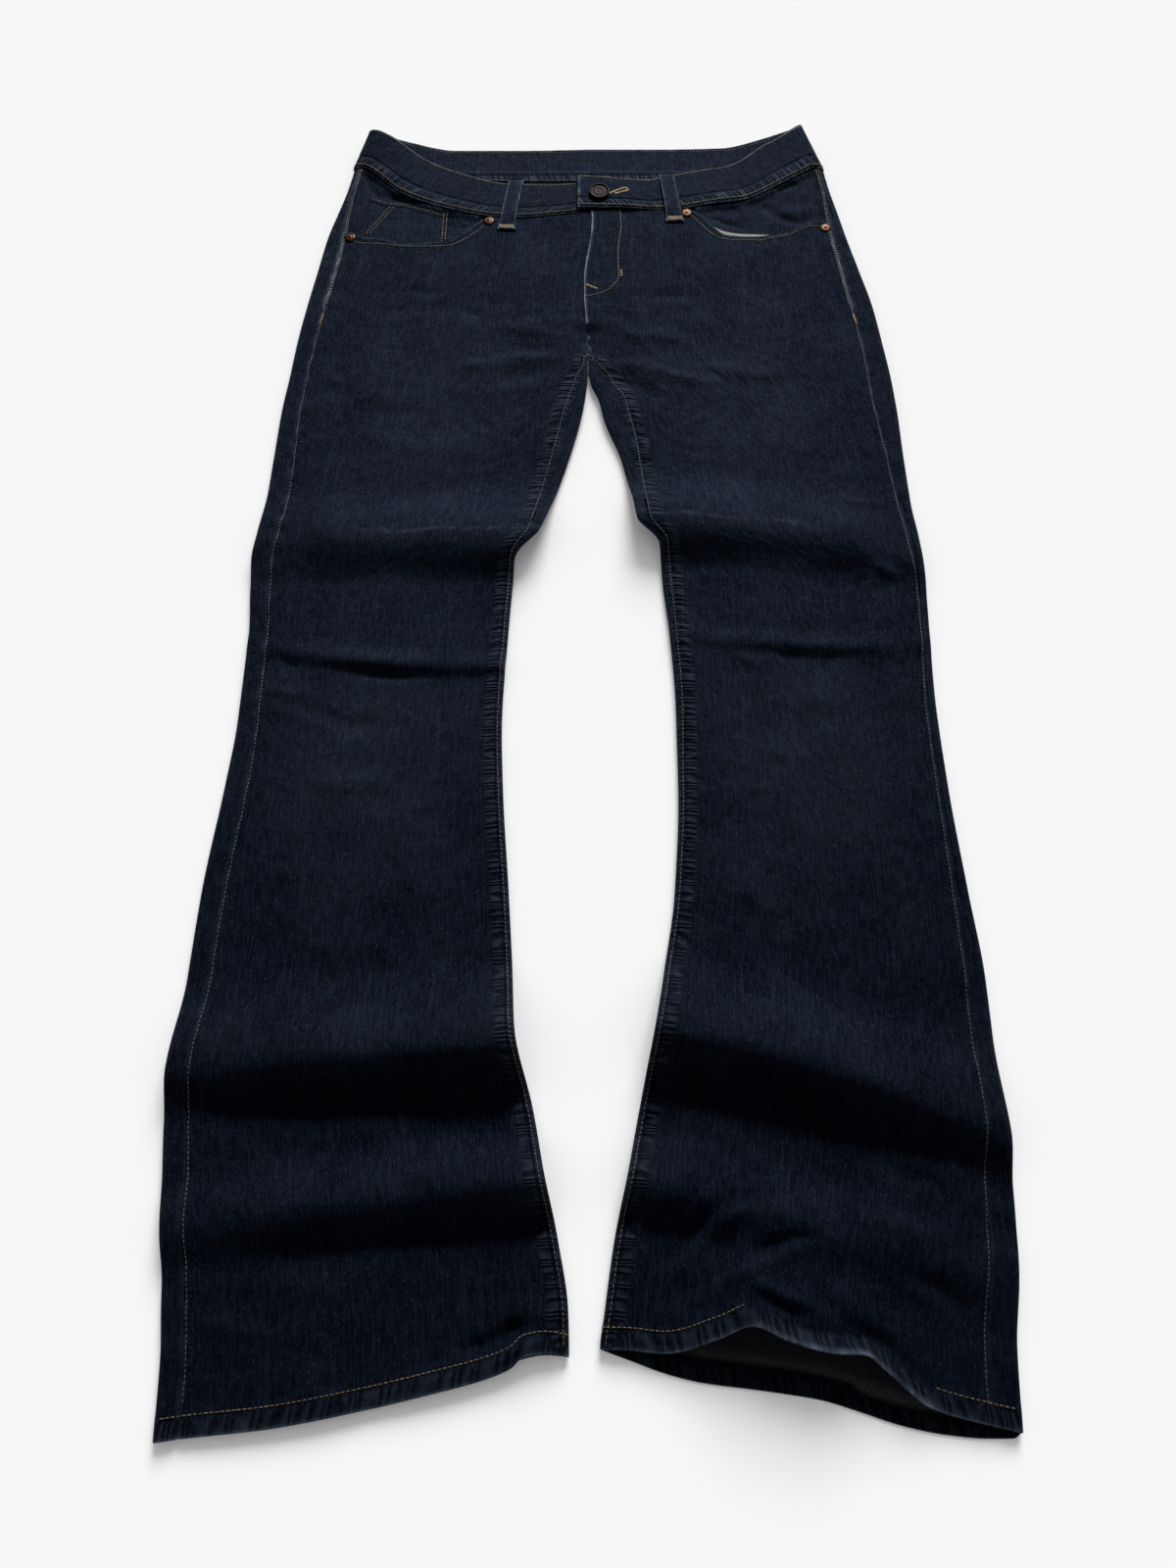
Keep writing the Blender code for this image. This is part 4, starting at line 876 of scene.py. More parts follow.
# ---- stitching ----------------------------------------------------------------------------------
def stitch_tree():
    """Geometry nodes that lay one short thread after another along a line."""
    tree = bpy.data.node_groups.new("row_of_stitches", "GeometryNodeTree")
    face = tree.interface
    face.new_socket("Line", in_out="INPUT", socket_type="NodeSocketGeometry")
    for name in ("Pitch", "Length", "Thread", "Turn"):
        face.new_socket(name, in_out="INPUT", socket_type="NodeSocketFloat")
    face.new_socket("Finish", in_out="INPUT", socket_type="NodeSocketMaterial")
    face.new_socket("Stitches", in_out="OUTPUT", socket_type="NodeSocketGeometry")
    short = Tree(tree)
    given = tree.nodes.new("NodeGroupInput")
    line, pitch, length, thick, turn, finish = given.outputs[:6]
    curve = short.add("GeometryNodeMeshToCurve", 0, (), Mesh=line)
    places = short.add("GeometryNodeResampleCurve", 0, (("mode", "LENGTH"),), Curve=curve,
                       Length=pitch)
    lozenge = short.add("GeometryNodeMeshUVSphere", 0, (), Segments=6, Rings=4, Radius=0.5)
    lay = short.add("ShaderNodeCombineXYZ", 0, (), i0=thick, i1=thick, i2=length)
    lozenge = short.add("GeometryNodeTransform", 0, (), Geometry=lozenge, Scale=lay)
    direction = short.add("GeometryNodeInputTangent")
    aligned = short.add("FunctionNodeAlignRotationToVector", 0, (("axis", "Z"),), Vector=direction)
    level = short.add("FunctionNodeAlignRotationToVector", 0,
                      (("axis", "Y"), ("pivot_axis", "Z")), Rotation=aligned,
                      Vector=(0.0, 0.0, 1.0))
    spin = short.add("ShaderNodeCombineXYZ", 0, (), i0=0.0, i1=turn, i2=0.0)
    turned = short.add("FunctionNodeRotateRotation", 0, (("rotation_space", "LOCAL"),),
                       i0=level, i1=spin)
    vary = short.add("FunctionNodeRandomValue", 1, (("data_type", "FLOAT"),), i2=0.86, i3=1.08,
                     Seed=4)
    laid = short.add("GeometryNodeInstanceOnPoints", 0, (), Points=places, Instance=lozenge,
                     Rotation=turned, Scale=vary)
    real = short.add("GeometryNodeRealizeInstances", 0, (), Geometry=laid)
    soft = short.add("GeometryNodeSetShadeSmooth", 0, (), Geometry=real)
    done = short.add("GeometryNodeSetMaterial", 0, (), Geometry=soft, Material=finish)
    out = tree.nodes.new("NodeGroupOutput")
    tree.links.new(done, out.inputs[0])
    return tree


def evenly(points):
    """Points close together on a line through a few points, rounded at the corners between."""
    points = np.array(points, dtype=float)
    lengths = np.hypot(*np.diff(points[:, :2], axis=0).T)
    place = np.concatenate(([0.0], np.cumsum(lengths)))
    at = np.linspace(0, place[-1], max(2, int(place[-1] / LINE_STEP) + 1))
    table = [(s, *p) for s, p in zip(place, points)]
    return np.stack([smooth(table, i + 1, at) for i in range(points.shape[1])], -1)


def stitch(name, lines, turn=0.0):
    """Rows of stitches along lines of 3-D points (mm), in the thread that THREADS gives."""
    thread, pitch, length, thick = THREADS[name]
    verts, edges = [], []
    for line in lines:
        edges += [(len(verts) + i, len(verts) + i + 1) for i in range(len(line) - 1)]
        verts += [tuple(point) for point in np.asarray(line) * MM]
    mesh = bpy.data.meshes.new(name)
    mesh.from_pydata(verts, edges, [])
    piece = placed(name, mesh)
    tree = bpy.data.node_groups.get("row_of_stitches") or stitch_tree()
    modifier = piece.modifiers.new("stitches", "NODES")
    modifier.node_group = tree
    given = {"Pitch": pitch * MM, "Length": length * MM, "Thread": thick * MM, "Turn": turn,
             "Finish": FINISH[thread]}
    for item in tree.interface.items_tree:
        if item.in_out == "INPUT" and item.name in given:
            modifier[item.identifier] = given[item.name]
    graph = bpy.context.evaluated_depsgraph_get()
    made = bpy.data.meshes.new_from_object(piece.evaluated_get(graph))
    piece.modifiers.clear()
    piece.data = made
    piece.data.name = name
    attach(piece, "root")


# ---- cloth pieces -------------------------------------------------------------------------------
def edge_steps(count, width):
    """Shares from 0 to 1 with close steps at both ends, and how far each dips into its seam."""
    near = [distance / width for distance in EDGE_AT]
    between = np.linspace(near[-1], 1 - near[-1], count)[1:-1]
    shares = np.array([*near, *between, *(1 - share for share in near[::-1])])
    return shares, np.array([*EDGE_DIPS, *[0.0] * len(between), *EDGE_DIPS[::-1]])


def edge_pull(down):
    """How far a row follows its panel's top edge and how far the hem, from its way down."""
    return (np.clip(1 - down / TOP_PULL, 0, 1) ** 1.5,
            np.clip((down - 1 + HEM_PULL) / HEM_PULL, 0, 1) ** 1.5)


def cloth(node, points, wall, flip, fade=0.02, rope=NO_ROPE, wrong_side=1.0,
          slot="denim"):
    """A laid sheet of cloth that stands for its node and rides on the jeans."""
    piece = shell(node + "_cloth", points, wall, flip, fade, rope, wrong_side)
    piece.data.materials.append(FINISH[slot])
    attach(piece, "root")
    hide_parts(node)


def panel_top(side, across):
    """Top of the front panel: the waist seam, and past its inner end the pocket's edge."""
    return np.where(across <= POCKET_INNER, smooth(WAIST_SEAM[side], 1, across),
                    smooth(POCKET_EDGE[side], 1, across))


def wear_and_highlight(side, across, y):
    """How pale the cloth is: dye rubbed on thighs and knees, folded edges and seams,
    and on the ridges partly wear, partly painted highlight.
    """
    x = across * SIDES[side]
    fade = sum(amount * bell(across - middle, wide) * bell(y - level, tall)
               for amount, middle, wide, level, tall in RUBBED)
    outer, inner = outer_fold(side, y), inner_fold(side, y)
    share = np.clip((outer - across) / (outer - inner), 0, 1)
    # ridges are paler the higher they stand, with a pale line along the first crest: partly wear
    # of the storage folds, partly painted highlight
    fade += 0.0016 * ridge_lift(side, share, y)
    outer_y, inner_y, bow = LEG_RIDGES[side][0][:3]
    crest = outer_y + (inner_y - outer_y) * share + bow * 4 * share * (1 - share) + 4.0
    fade += edge_wear_and_highlight("ridge", y - crest - 2 * uneven(x, y, 50, 24)) * ease((share - 0.3) / 0.2)
    fade += 0.010 * np.clip(crease_lift(x, y), 0, 3)
    edge = np.minimum(outer - across, across - inner + 99 * (y > TUBE_END))
    fade += edge_wear_and_highlight("fold", np.clip(edge, 0, None))
    fade += 0.020 * uneven(x, y, 60, 21) + 0.012 * uneven(x, y, 22, 23)
    return np.clip(fade, 0, 1)


def edge_wear_and_highlight(edge, off):
    """How pale an edge is, so far from it."""
    amount, reach = PALE[edge]
    return amount * bell(off, reach)


def patchy(x, y, length, seed, least=0.6):
    """About least to 1: an edge is never rubbed evenly."""
    return least + (1 - least) * uneven(x, y, length, seed)


def nearest_rope(*lines):
    """Of several (along, off, strength) fields, the one whose line is nearest."""
    best = [np.array(values, dtype=float) for values in np.broadcast_arrays(*lines[0])]
    for line in lines[1:]:
        along, off, strength = np.broadcast_arrays(*line)
        nearer = off < best[1]
        for i, values in enumerate((along, off, strength)):
            best[i] = np.where(nearer, values, best[i])
    return np.stack(best, -1)


def front_grid(side):
    """Across and y of the front's points, the points in world mm, and each row's inner end."""
    sign, hem = SIDES[side], FRONT_HEM[side]
    shares, dips = edge_steps(FRONT_COLUMNS, 205)
    down = np.concatenate(([0, 0.0008, 0.002], np.linspace(0.0045, 0.9985, FRONT_ROWS), [1.0]))
    down = down[:, None]
    corner, top_in = POCKET_EDGE[side][-1][1] - 0.4, float(panel_top(side, GAP / 2))
    outer_y = corner + (hem[-1][1] - corner) * down
    inner_y = top_in + (hem[0][1] - top_in) * down
    outer, inner = outer_fold(side, outer_y), inner_fold(side, inner_y)
    start = outseam(side, outer_y) - MEETING
    end = np.maximum(inseam(side, inner_y), 0.0) + MEETING
    end = end + sign * smooth(CENTRE_FRONT, 1, inner_y) * (inner_y > CROTCH_Y)
    across = start + (end - start) * shares
    line = outer_y + (inner_y - outer_y) * (outer - across) / (outer - inner)
    at_top, at_hem = edge_pull(down)
    y = line + (panel_top(side, across[0]) - MEETING - line[0]) * at_top
    y = y + (smooth(hem, 1, across[-1]) - line[-1]) * at_hem
    z = front_height(side, across, y, outer, inner)
    # the fly's edge lies on the other front, so it dips less than a seam does
    z = z - dips * np.where((inner_y > FORK_Y) & (np.arange(len(shares)) > 30), 0.45, 1.0)
    z = z - 0.8 * bell(panel_top(side, across) - y, 1.2) * (across <= POCKET_INNER)
    return across, y, np.stack((sign * across, y, z), -1), end


def front_panel(side):
    """The leg's front, from the pocket edge and waist seam down to the hem."""
    across, y, points, end = front_grid(side)
    off_hem = y - smooth(FRONT_HEM[side], 1, across)
    off_top = panel_top(side, across) - y
    off_seam = across - inseam(side, y) + 50 * (y > FORK_Y)
    rope = nearest_rope((y, np.abs(off_seam) * 0.85, 1.0), (across * 0.62, off_hem * 0.7, 1.0),
                        (across * 0.8, off_top * 1.6, 0.4))
    rubbed = patchy(across, y, 14, 71)
    fade = wear_and_highlight(side, across, y) + rubbed * edge_wear_and_highlight("front_hem", off_hem)
    if side == "left":
        # painted highlight: where the hem stands up, its turned edge is made paler
        low, high = STANDING_HEM
        standing = ease((across - low + 6) / 12) * ease((high + 6 - across) / 12)
        fade += standing * rubbed * 0.55 * np.exp(-(off_hem / 2.6) ** 4)
        fly_edge = (1.25 + 0.5 * uneven(across, y, 20, 73)) * bell(across - end, 1.2)
        fade += fly_edge * (y > 300)
    fade += rubbed * edge_wear_and_highlight("pocket_edge", off_top) * (across > POCKET_INNER)
    at_hip = y > HIP_ROWS_FROM
    fade += rubbed * (0.45 + 0.8 * at_hip) * bell(outseam(side, y) - across, SEAM_PALE)
    cloth("front_" + side, points, WALL, side == "left", fade, rope)


def back_columns(side, outer_y, inner_y):
    """A row of the back: across, which points are on top, dips into the seams, and both folds."""
    fold, upper = 1 - np.cos(np.radians(np.linspace(90, -90, 11))), np.arange(11) < 6
    outer, inner = outer_fold(side, outer_y), inner_fold(side, inner_y)
    split, flange = inner_y < TUBE_END, np.array(EDGE_AT)
    start, begin = outseam(side, outer_y) + MEETING, outer - EDGE_ROUND
    finish = inner + EDGE_ROUND if split else UNDER_BACK
    # from the outseam over the outer fold to the underside; places, and whether they are on top
    runs = [(start + flange * min(1.0, (begin - start) / 4.0), True),
            (start + (begin - start) * np.linspace(0.6, 0.9, 3), True),
            (outer - EDGE_ROUND * fold, upper),
            (begin + (finish - begin) * np.linspace(0, 1, 36)[1:-1], False)]
    if split:
        end, turn = inseam(side, inner_y) - MEETING, inner + EDGE_ROUND
        runs += [(inner + EDGE_ROUND * fold[::-1], upper[::-1]),
                 (turn + (end - turn) * np.linspace(0.1, 0.6, 3), True),
                 (end - flange[::-1] * min(1.0, (end - turn) / 5.0), True)]
    else:
        runs.append((np.linspace(finish, GAP / 2, 18), False))
    across = np.concatenate([run for run, _ in runs])
    top = np.concatenate([np.broadcast_to(on_top, run.shape) for run, on_top in runs])
    dips = np.zeros(len(top))
    dips[:len(flange)] = EDGE_DIPS
    if split:
        dips[-len(flange):] = EDGE_DIPS[::-1]
    return across, top, dips, outer, inner


def straight(side, outer_y, inner_y, across):
    """y on the line from the outer fold to the inner one."""
    outer, inner = outer_fold(side, outer_y), inner_fold(side, inner_y)
    return outer_y + (inner_y - outer_y) * (outer - across) / (outer - inner)


def back_row(side, down):
    """One row of the back: its points, and which of them are on top, the hem's y below each."""
    hem = BACK_HEM[side]
    tops = YOKE_SEAM[-1][1] - 2 * MEETING, YOKE_SEAM[0][1] - 2 * MEETING
    ends = hem[-1][1], hem[0][1]
    outer_y, inner_y = (top + (end - top) * down for top, end in zip(tops, ends))
    across, top, dips, outer, inner = back_columns(side, outer_y, inner_y)
    at_top, at_hem = edge_pull(down)
    y = straight(side, outer_y, inner_y, across)
    y = y + (smooth(YOKE_SEAM, 1, across) - 2 * MEETING - straight(side, *tops, across)) * at_top
    edge_y = np.where(top, smooth(FRONT_HEM[side], 1, across), smooth(hem, 1, across))
    y = y + (edge_y - straight(side, *ends, across)) * at_hem
    z = height(side, across, y, top, outer, inner) - dips
    z = z + HEM_EXTRA * 0.5 * top * turned_hem(y - edge_y)
    return np.stack((across, y, z), -1), top, edge_y


def back_panel(side):
    """The leg's back, wrapped round both folded edges up to the seams on the front."""
    down = np.concatenate(([0, 0.001], np.linspace(0.004, 0.9985, BACK_ROWS), [1.0]))
    rows, tops, edges = map(np.array, zip(*(back_row(side, share) for share in down)))
    across, y = rows[:, :, 0], rows[:, :, 1]
    off_hem = y - edges
    off_inseam = np.where(tops & (across < LEG_MIDDLE), np.abs(across - inseam(side, y)), FAR_OFF)
    off_outseam = np.where(tops & (across > LEG_MIDDLE), np.abs(across - outseam(side, y)),
                           FAR_OFF)
    rope = nearest_rope((y, off_inseam, 0.6), (across * 0.62, off_hem * 0.7, 1.0))
    rubbed = patchy(across, y, 14, 72)
    fade = wear_and_highlight(side, across, y) + rubbed * edge_wear_and_highlight("back_hem", off_hem)
    fade += rubbed * (0.15 + 0.5 * (y > HIP_ROWS_FROM)) * bell(off_outseam, SEAM_PALE)
    # painted shade: the inner face shows its pale weft fully only in a stripe above the hem's
    # turning; further up the leg it is darkened toward the face's indigo
    beyond = off_hem - HEM_DEPTH
    undyed_and_shade = (beyond > -1) * (0.30 + 0.70 * bell(beyond, 4.5))
    cloth("back_" + side, rows * (SIDES[side], 1, 1), WALL, side == "right",
          fade, rope, undyed_and_shade)


def yoke(side):
    """Shaped piece between the back panel and the waistband, round the hip to the outseam."""
    rows = []
    outer_top, outer_low = BACK_SEAM[side][-1][1], YOKE_SEAM[-1][1]
    for share in (0.0, 0.02, 0.05, 0.1, 0.3, 0.5, 0.7, 0.9, 0.95, 0.98, 1.0):
        level = outer_top + (outer_low - outer_top) * share
        across, top, dips, outer, inner = back_columns(side, level, level)
        high = smooth(BACK_SEAM[side], 1, across) - 2 * GAP
        low = smooth(YOKE_SEAM, 1, across) + MEETING
        y = high + (low - high) * share
        z = height(side, across, y, top, outer, inner) - dips * 0.7
        rows.append(np.stack((SIDES[side] * across, y, z), -1))
    cloth("yoke_" + side, np.array(rows), WALL, side == "right", 0.03)


def facing_depth(side, across, y):
    """The facing lies deep behind the opening and comes up to the waist seam and the outseam."""
    from_waist = ease((smooth(WAIST_SEAM[side], 1, across) - y) / FACING_RISE)
    from_side = ease((outseam(side, y) - across) / FACING_RISE)
    return FACING_DEPTH * from_waist * from_side


def facing_height(side, across, y):
    """Outside of the pocket facing, with the hollows that show in the openings."""
    z = height(side, across, y, np.ones(np.shape(across), bool)) - facing_depth(side, across, y)
    z = z + 0.35 * uneven(across, y * 0.6, 26, 31 + SIDES[side]) * ease((y - 400) / 20)
    for depth, above, below, *points in FACING_HOLLOWS[side]:
        off, share = along_line(points, across * SIDES[side], y)
        ends = ease(share / HOLLOW_ENDS) * ease((1 - share) / HOLLOW_ENDS)
        z = z + depth * bell(off, np.where(off > 0, above, below)) * ends
    return z


def pocket_facing(side):
    """Denim behind the pocket opening, up to the waist seam."""
    start, corner = BAND_FOLD[side][0] - BAND_FOLD_ROUND, POCKET_EDGE[side][-1][0]
    across = np.concatenate((np.linspace(corner, start, 12)[:-1],
                             np.linspace(start, FACING_INNER, 52)))
    outward = np.clip((across - start) / (corner - start), 0, 1)
    rows, offs = [], []
    for share in np.linspace(0, 1, 36):
        top = smooth(WAIST_SEAM[side], 1, np.minimum(across, start)) - 2 * MEETING
        low = smooth(POCKET_EDGE[side], 1, across) + 1
        low = low - (FACING_TUCK + 1) * ease((start - across) / FACING_RISE)
        y = top + (low - top) * share
        edge = outseam(side, y) - GAP
        inside = np.minimum(across, edge - FACING_LIP) * (1 - outward) + edge * outward
        z = facing_height(side, inside, y) - 0.7 * bell(top - y, 1.2)
        rows.append(np.stack((SIDES[side] * inside, y, z), -1))
        offs.append(np.stack((inside * 0.8, smooth(WAIST_SEAM[side], 1, inside) - y,
                              np.full_like(y, 0.5)), -1))
    cloth("pocket_facing_" + side, np.array(rows), FACING_WALL, side == "left",
          rope=np.array(offs))


def patch(node, side, outline, surface, wall, slot):
    """A flat piece behind the opening; outline is across, top y, bottom y."""
    across = np.linspace(outline[0][0], outline[-1][0], 34)
    top, low = smooth(outline, 1, across), smooth(outline, 2, across)
    levels = [top + (low - top) * share for share in np.linspace(0, 1, 26)]
    rows = [np.stack((SIDES[side] * across, y, surface(across, y)), -1) for y in levels]
    cloth(node, np.array(rows), wall, side == "right", slot=slot)


def coin_height(across, y):
    """Outside of the coin pocket, on the right facing."""
    ends = np.minimum(across - COIN_POCKET[0][0], COIN_POCKET[-1][0] - across)
    edge = np.minimum(smooth(COIN_POCKET, 1, across) - y, ends)
    return facing_height("right", across, y) + GAP + COIN_RISE - 0.3 * bell(edge, 1.2)


def bag_height(across, y):
    """Outside of the pocketing, under the left front."""
    return height("left", across, y, np.ones(np.shape(across), bool)) - WALL - BAG_UNDER


# ---- waistband ----------------------------------------------------------------------------------
def band_columns(side, spacing):
    """Stations from the band's end at the front, round the side fold, to the centre back."""
    seam_fold, top_fold = BAND_FOLD[side]
    end, flat = BAND_ENDS[side], BAND_FOLD_ROUND
    stations = []
    reach = seam_fold - flat - end
    for share in np.linspace(0, 1, int(reach / spacing)):
        stations.append((end + reach * share, end + (top_fold - flat - end) * share, 90.0, False))
    for angle in np.linspace(90, -90, 15)[1:]:
        out = flat * (1 - math.cos(math.radians(angle)))
        stations.append((seam_fold - out, top_fold - out, angle, angle < 0))
    for share in np.linspace(1, 0, int((seam_fold - flat) / spacing))[1:]:
        stations.append(((seam_fold - flat) * share, (top_fold - flat) * share, -90.0, True))
    return stations


def band_surface(side, station, share, proud=0.0):
    """A point of the waistband, share of the way up from the waist seam."""
    seam_across, top_across, angle, back = station
    across = seam_across + (top_across - seam_across) * share
    seam, top = (BACK_SEAM, BACK_TOP) if back else (WAIST_SEAM, BAND_TOP)
    low = float(smooth(seam[side], 1, seam_across)) - MEETING
    y = low + (float(smooth(top[side], 1, top_across)) - low) * share
    half = BAND_LOFT / 2
    x = SIDES[side] * across
    upward = math.sin(math.radians(angle))
    soft = 0.35 * float(uneven(np.array(x), np.array(y), 42, 41)) * (upward > 0.9)
    z = SEAT_LIFT + half + (half + soft + proud) * upward
    z += TIP_LIFT * share * float(ease((across - TIP_FROM) / (TIP_TO - TIP_FROM)))
    if side == "left" and not back:
        z += OVERLAP_RISE * float(ease((OVERLAP_FROM - across) / (OVERLAP_FROM - OVERLAP_TO)))
    return (x, y, z)


def band_z(side, across, y):
    """Height of the band's front at a place on it."""
    low, top = float(smooth(WAIST_SEAM[side], 1, across)), float(smooth(BAND_TOP[side], 1, across))
    return band_surface(side, (across, across, 90.0, False), (y - low) / (top - low))[2]


def waistband():
    """One strip from the right end at the front, round the back, to the left end on top of it."""
    levels = np.array(BAND_LEVELS)
    groove = -GROOVE_DEPTH * bell(levels - BAND_GROOVE, GROOVE_WIDTH)
    order = [("right", station) for station in band_columns("right", BAND_SPACING)]
    order += [("left", station) for station in band_columns("left", BAND_SPACING)[::-1][1:]]
    points = np.array([[band_surface(side, station, level, BAND_EDGES.get(level, 0.0) + dip)
                        for side, station in order] for level, dip in zip(BAND_LEVELS, groove)])
    along = grid_lengths(points)[:, :, 0] / MM
    above = (levels * BAND_TALL)[:, None]
    ends = np.minimum(along - along[:, :1], along[:, -1:] - along)
    rope = np.stack(np.broadcast_arrays(along * 0.85, np.minimum(above * 0.72, 20.0), 1.0), -1)
    pale = edge_wear_and_highlight("band_top", BAND_TALL - above) + edge_wear_and_highlight("band_low", above)
    pale = pale + edge_wear_and_highlight("band_end", ends)
    pale = pale + edge_wear_and_highlight("band_groove", levels - PALE_GROOVE)[:, None]
    fade = 0.03 + patchy(points[:, :, 0], points[:, :, 1], 12, 53) * pale
    cloth("waistband", points, BAND_WALL, True, fade, rope, 0.0)


# ---- loops and back pockets ---------------------------------------------------------------------
def front_loop(side):
    """Belt loop over the band and down on to the front."""
    sign, at, on_band = SIDES[side], np.array(LOOP_COLUMNS), SEAT_LIFT + BAND_LOFT
    (top_across, top_y), (low_across, low_y) = FRONT_LOOPS[side]
    crown = 0.35 * (1 - (2 * at) ** 4) - 0.5 * bell(np.abs(at) - 0.3, 0.05) - 0.2
    rows = []
    for down in np.linspace(0, 1, 30):
        across = top_across + (low_across - top_across) * down
        y = top_y + (low_y - top_y) * down
        below = float(height(side, np.array(across), np.array(y), True))
        rest = on_band + (below - on_band) * ease((down - LOOP_OFF_BAND) / 0.3)
        pressed = 0.5 * sum(bell(down - place, 0.03) for place in LOOP_PRESSED)
        z = rest + GAP + PATCH_WALL + LOOP_ARCH * math.sin(math.pi * down) - pressed
        wide = LOOP_WIDTH + 1.2 + 2.2 * ease((down - 0.72) / 0.28)
        rows.append(np.stack((sign * (across + at * wide), np.full(len(at), y), z + crown), -1))
    points = np.array(rows)
    x, y = points[:, :, 0], points[:, :, 1]
    off = (0.5 - np.abs(at)) * LOOP_WIDTH
    ends = np.minimum(y[:1] - y, y - y[-1:])
    pale = edge_wear_and_highlight("loop_side", off) + edge_wear_and_highlight("loop_end", ends)
    fade = 0.05 + patchy(x, y, 11, 55, 0.65) * pale
    cloth("belt_loop_front_" + side, points, PATCH_WALL, sign > 0, fade=fade)


def flat_under(node, outline):
    """A piece on the underside, outside face down; outline gives a row's ends from its share."""
    rows, along = [], np.linspace(0, 1, 24)
    for down in np.linspace(0, 1, 20):
        left, right, point = outline(down)
        across = np.linspace(left[0], right[0], 24)
        y = left[1] + (right[1] - left[1]) * along - point * (1 - np.abs(2 * along - 1))
        rows.append(np.stack((across, y, np.zeros(24)), -1))
    cloth(node, np.array(rows), PATCH_WALL, True, fade=0.04)


def back_loop(where, x):
    high, low = BACK_LOOP_ENDS
    half = LOOP_WIDTH / 2

    def outline(down):
        y = high + (low - high) * down
        return (x - half, y), (x + half, y), 0.0

    flat_under("belt_loop_back_" + where, outline)


def back_pocket(side):
    size, sign = BACK_POCKET, SIDES[side]

    def outline(down):
        half = size["half_top"] + (size["half_bottom"] - size["half_top"]) * down
        y = size["top"] + (size["bottom"] - size["top"]) * down
        middle = sign * size["middle"]
        return (middle - half, y), (middle + half, y), size["point"] * down

    flat_under("back_pocket_" + side, outline)


# ---- metal --------------------------------------------------------------------------------------
def turned(name, profile, segments, finish, centre, node, slot):
    """A turned shape: its profile (radius, height, mm) runs down the outer side from the top."""
    angles = np.linspace(0, 2 * math.pi, segments, endpoint=False)
    rings = [(radius * math.cos(a), radius * math.sin(a), level)
             for radius, level in profile[1:-1] for a in angles]
    verts = [(0, 0, profile[0][1]), *rings, (0, 0, profile[-1][1])]
    steps = [(i, (i + 1) % segments) for i in range(segments)]
    faces = [(0, 1 + i, 1 + after) for i, after in steps]
    for a in range(1, len(rings) - segments + 1, segments):
        b = a + segments
        faces += [(a + i, b + i, b + after, a + after) for i, after in steps]
    last, base = len(verts) - 1, len(rings) - segments + 1
    faces += [(base + after, base + i, last) for i, after in steps]
    mesh = bpy.data.meshes.new(name)
    mesh.from_pydata([tuple((c + at) * MM for c, at in zip(v, centre)) for v in verts], [], faces)
    mesh.polygons.foreach_set("use_smooth", [True] * len(mesh.polygons))
    mesh.set_sharp_from_angle(angle=math.radians(50))
    mesh.materials.append(FINISH[finish])
    piece = placed(name, mesh)
    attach(piece, "root")
    if node:
        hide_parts(node)


def button():
    """Tack button: a dished face inside a rim that carries the copper slot but is dark too."""
    radius, head, shank, root = (BUTTON[key] for key in ("radius", "head", "shank", "root"))
    centre = (BUTTON["x"], BUTTON["y"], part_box("button")[1][2] / MM - head)
    face, rim = ([(radius * share, head - below) for share, below in table]
                 for table in (BUTTON_FACE, BUTTON_RIM))
    turned("button_face", face, 48, "bronze", centre, None, "bronze")
    turned("button_rim", rim + [(shank, 0.0), (shank, -root), (0, -root)], 48, "bronze", centre,
           "button", "copper")


def rivet(name, x, y):
    """Small domed rivet with a raised nub."""
    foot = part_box(name)[0][2] / MM
    dome = [(RIVET_RADIUS * out, RIVET_HEIGHT * up) for out, up in RIVET_DOME]
    foot_edge = [(RIVET_RADIUS, 0.05), (RIVET_RADIUS * 0.9, -RIVET_ROOT), (0, -RIVET_ROOT)]
    turned(name + "_metal", dome + foot_edge, 28, "copper", (x, y, foot), name, "copper")


# ---- stitch lines -------------------------------------------------------------------------------
def on_front(points):
    """A line drawn in plan (world x, y), laid on the front's surface."""
    x, y = evenly(points).T
    side = "left" if x.mean() > 0 else "right"
    return np.stack((x, y, front_height(side, np.abs(x), y) + ROW_LIFT), -1)


def seam_row(side, seam, off, low, high, lift):
    """A row beside a seam that is a function of y."""
    y = np.arange(high, low, -2.0)
    across = SEAMS[seam](side, y) + off
    return np.stack((SIDES[side] * across, y, front_height(side, across, y) + lift), -1)


def hem_rows(side):
    """The hem's row, left out where the hem stands up and hides it."""
    hem = FRONT_HEM[side]
    across = np.arange(hem[0][0] + 2.0, hem[-1][0] - 3, 2.0)
    y = smooth(hem, 1, across) + HEM_DEPTH - HEM_ROW_IN
    row = np.stack((SIDES[side] * across, y, front_height(side, across, y) + 0.2), -1)
    low, high = STANDING_HEM
    return [row[across < low], row[across > high]] if side == "left" else [row]


def on_coin(points):
    """A line on the coin pocket: across and y."""
    x, y = evenly(points).T
    return np.stack((-x, y, coin_height(x, y) + 0.2), -1)


def band_row(share, inside=False):
    """A row all round the waistband, or on the inside of its back, which the open waist shows."""
    line = []
    for side, order in (("right", 1), ("left", -1)):
        for station in band_columns(side, BAND_SPACING)[::order]:
            if not inside:
                line.append(band_surface(side, station, share, 0.2))
            elif station[3] and station[2] == -90.0:
                x, y, z = band_surface(side, station, share)
                line.append((x, y, z + BAND_WALL + 0.2))
    return np.array(line)


def buttonhole():
    """The worked end of the buttonhole, a thick curled cord beside the button."""
    plan = evenly(BUTTONHOLE)
    return np.column_stack((plan, [band_z("left", x, y) + 0.3 for x, y in plan]))


def bartack(x, y, length, angle, raised=TACK_LIFT):
    """A short dense bar of thread."""
    turn = math.radians(angle)
    at = np.linspace(-0.5, 0.5, 12) * length
    px, py = x + at * math.cos(turn), y + at * math.sin(turn)
    side = "left" if x > 0 else "right"
    return np.stack((px, py, front_height(side, np.abs(px), py) + raised), -1)


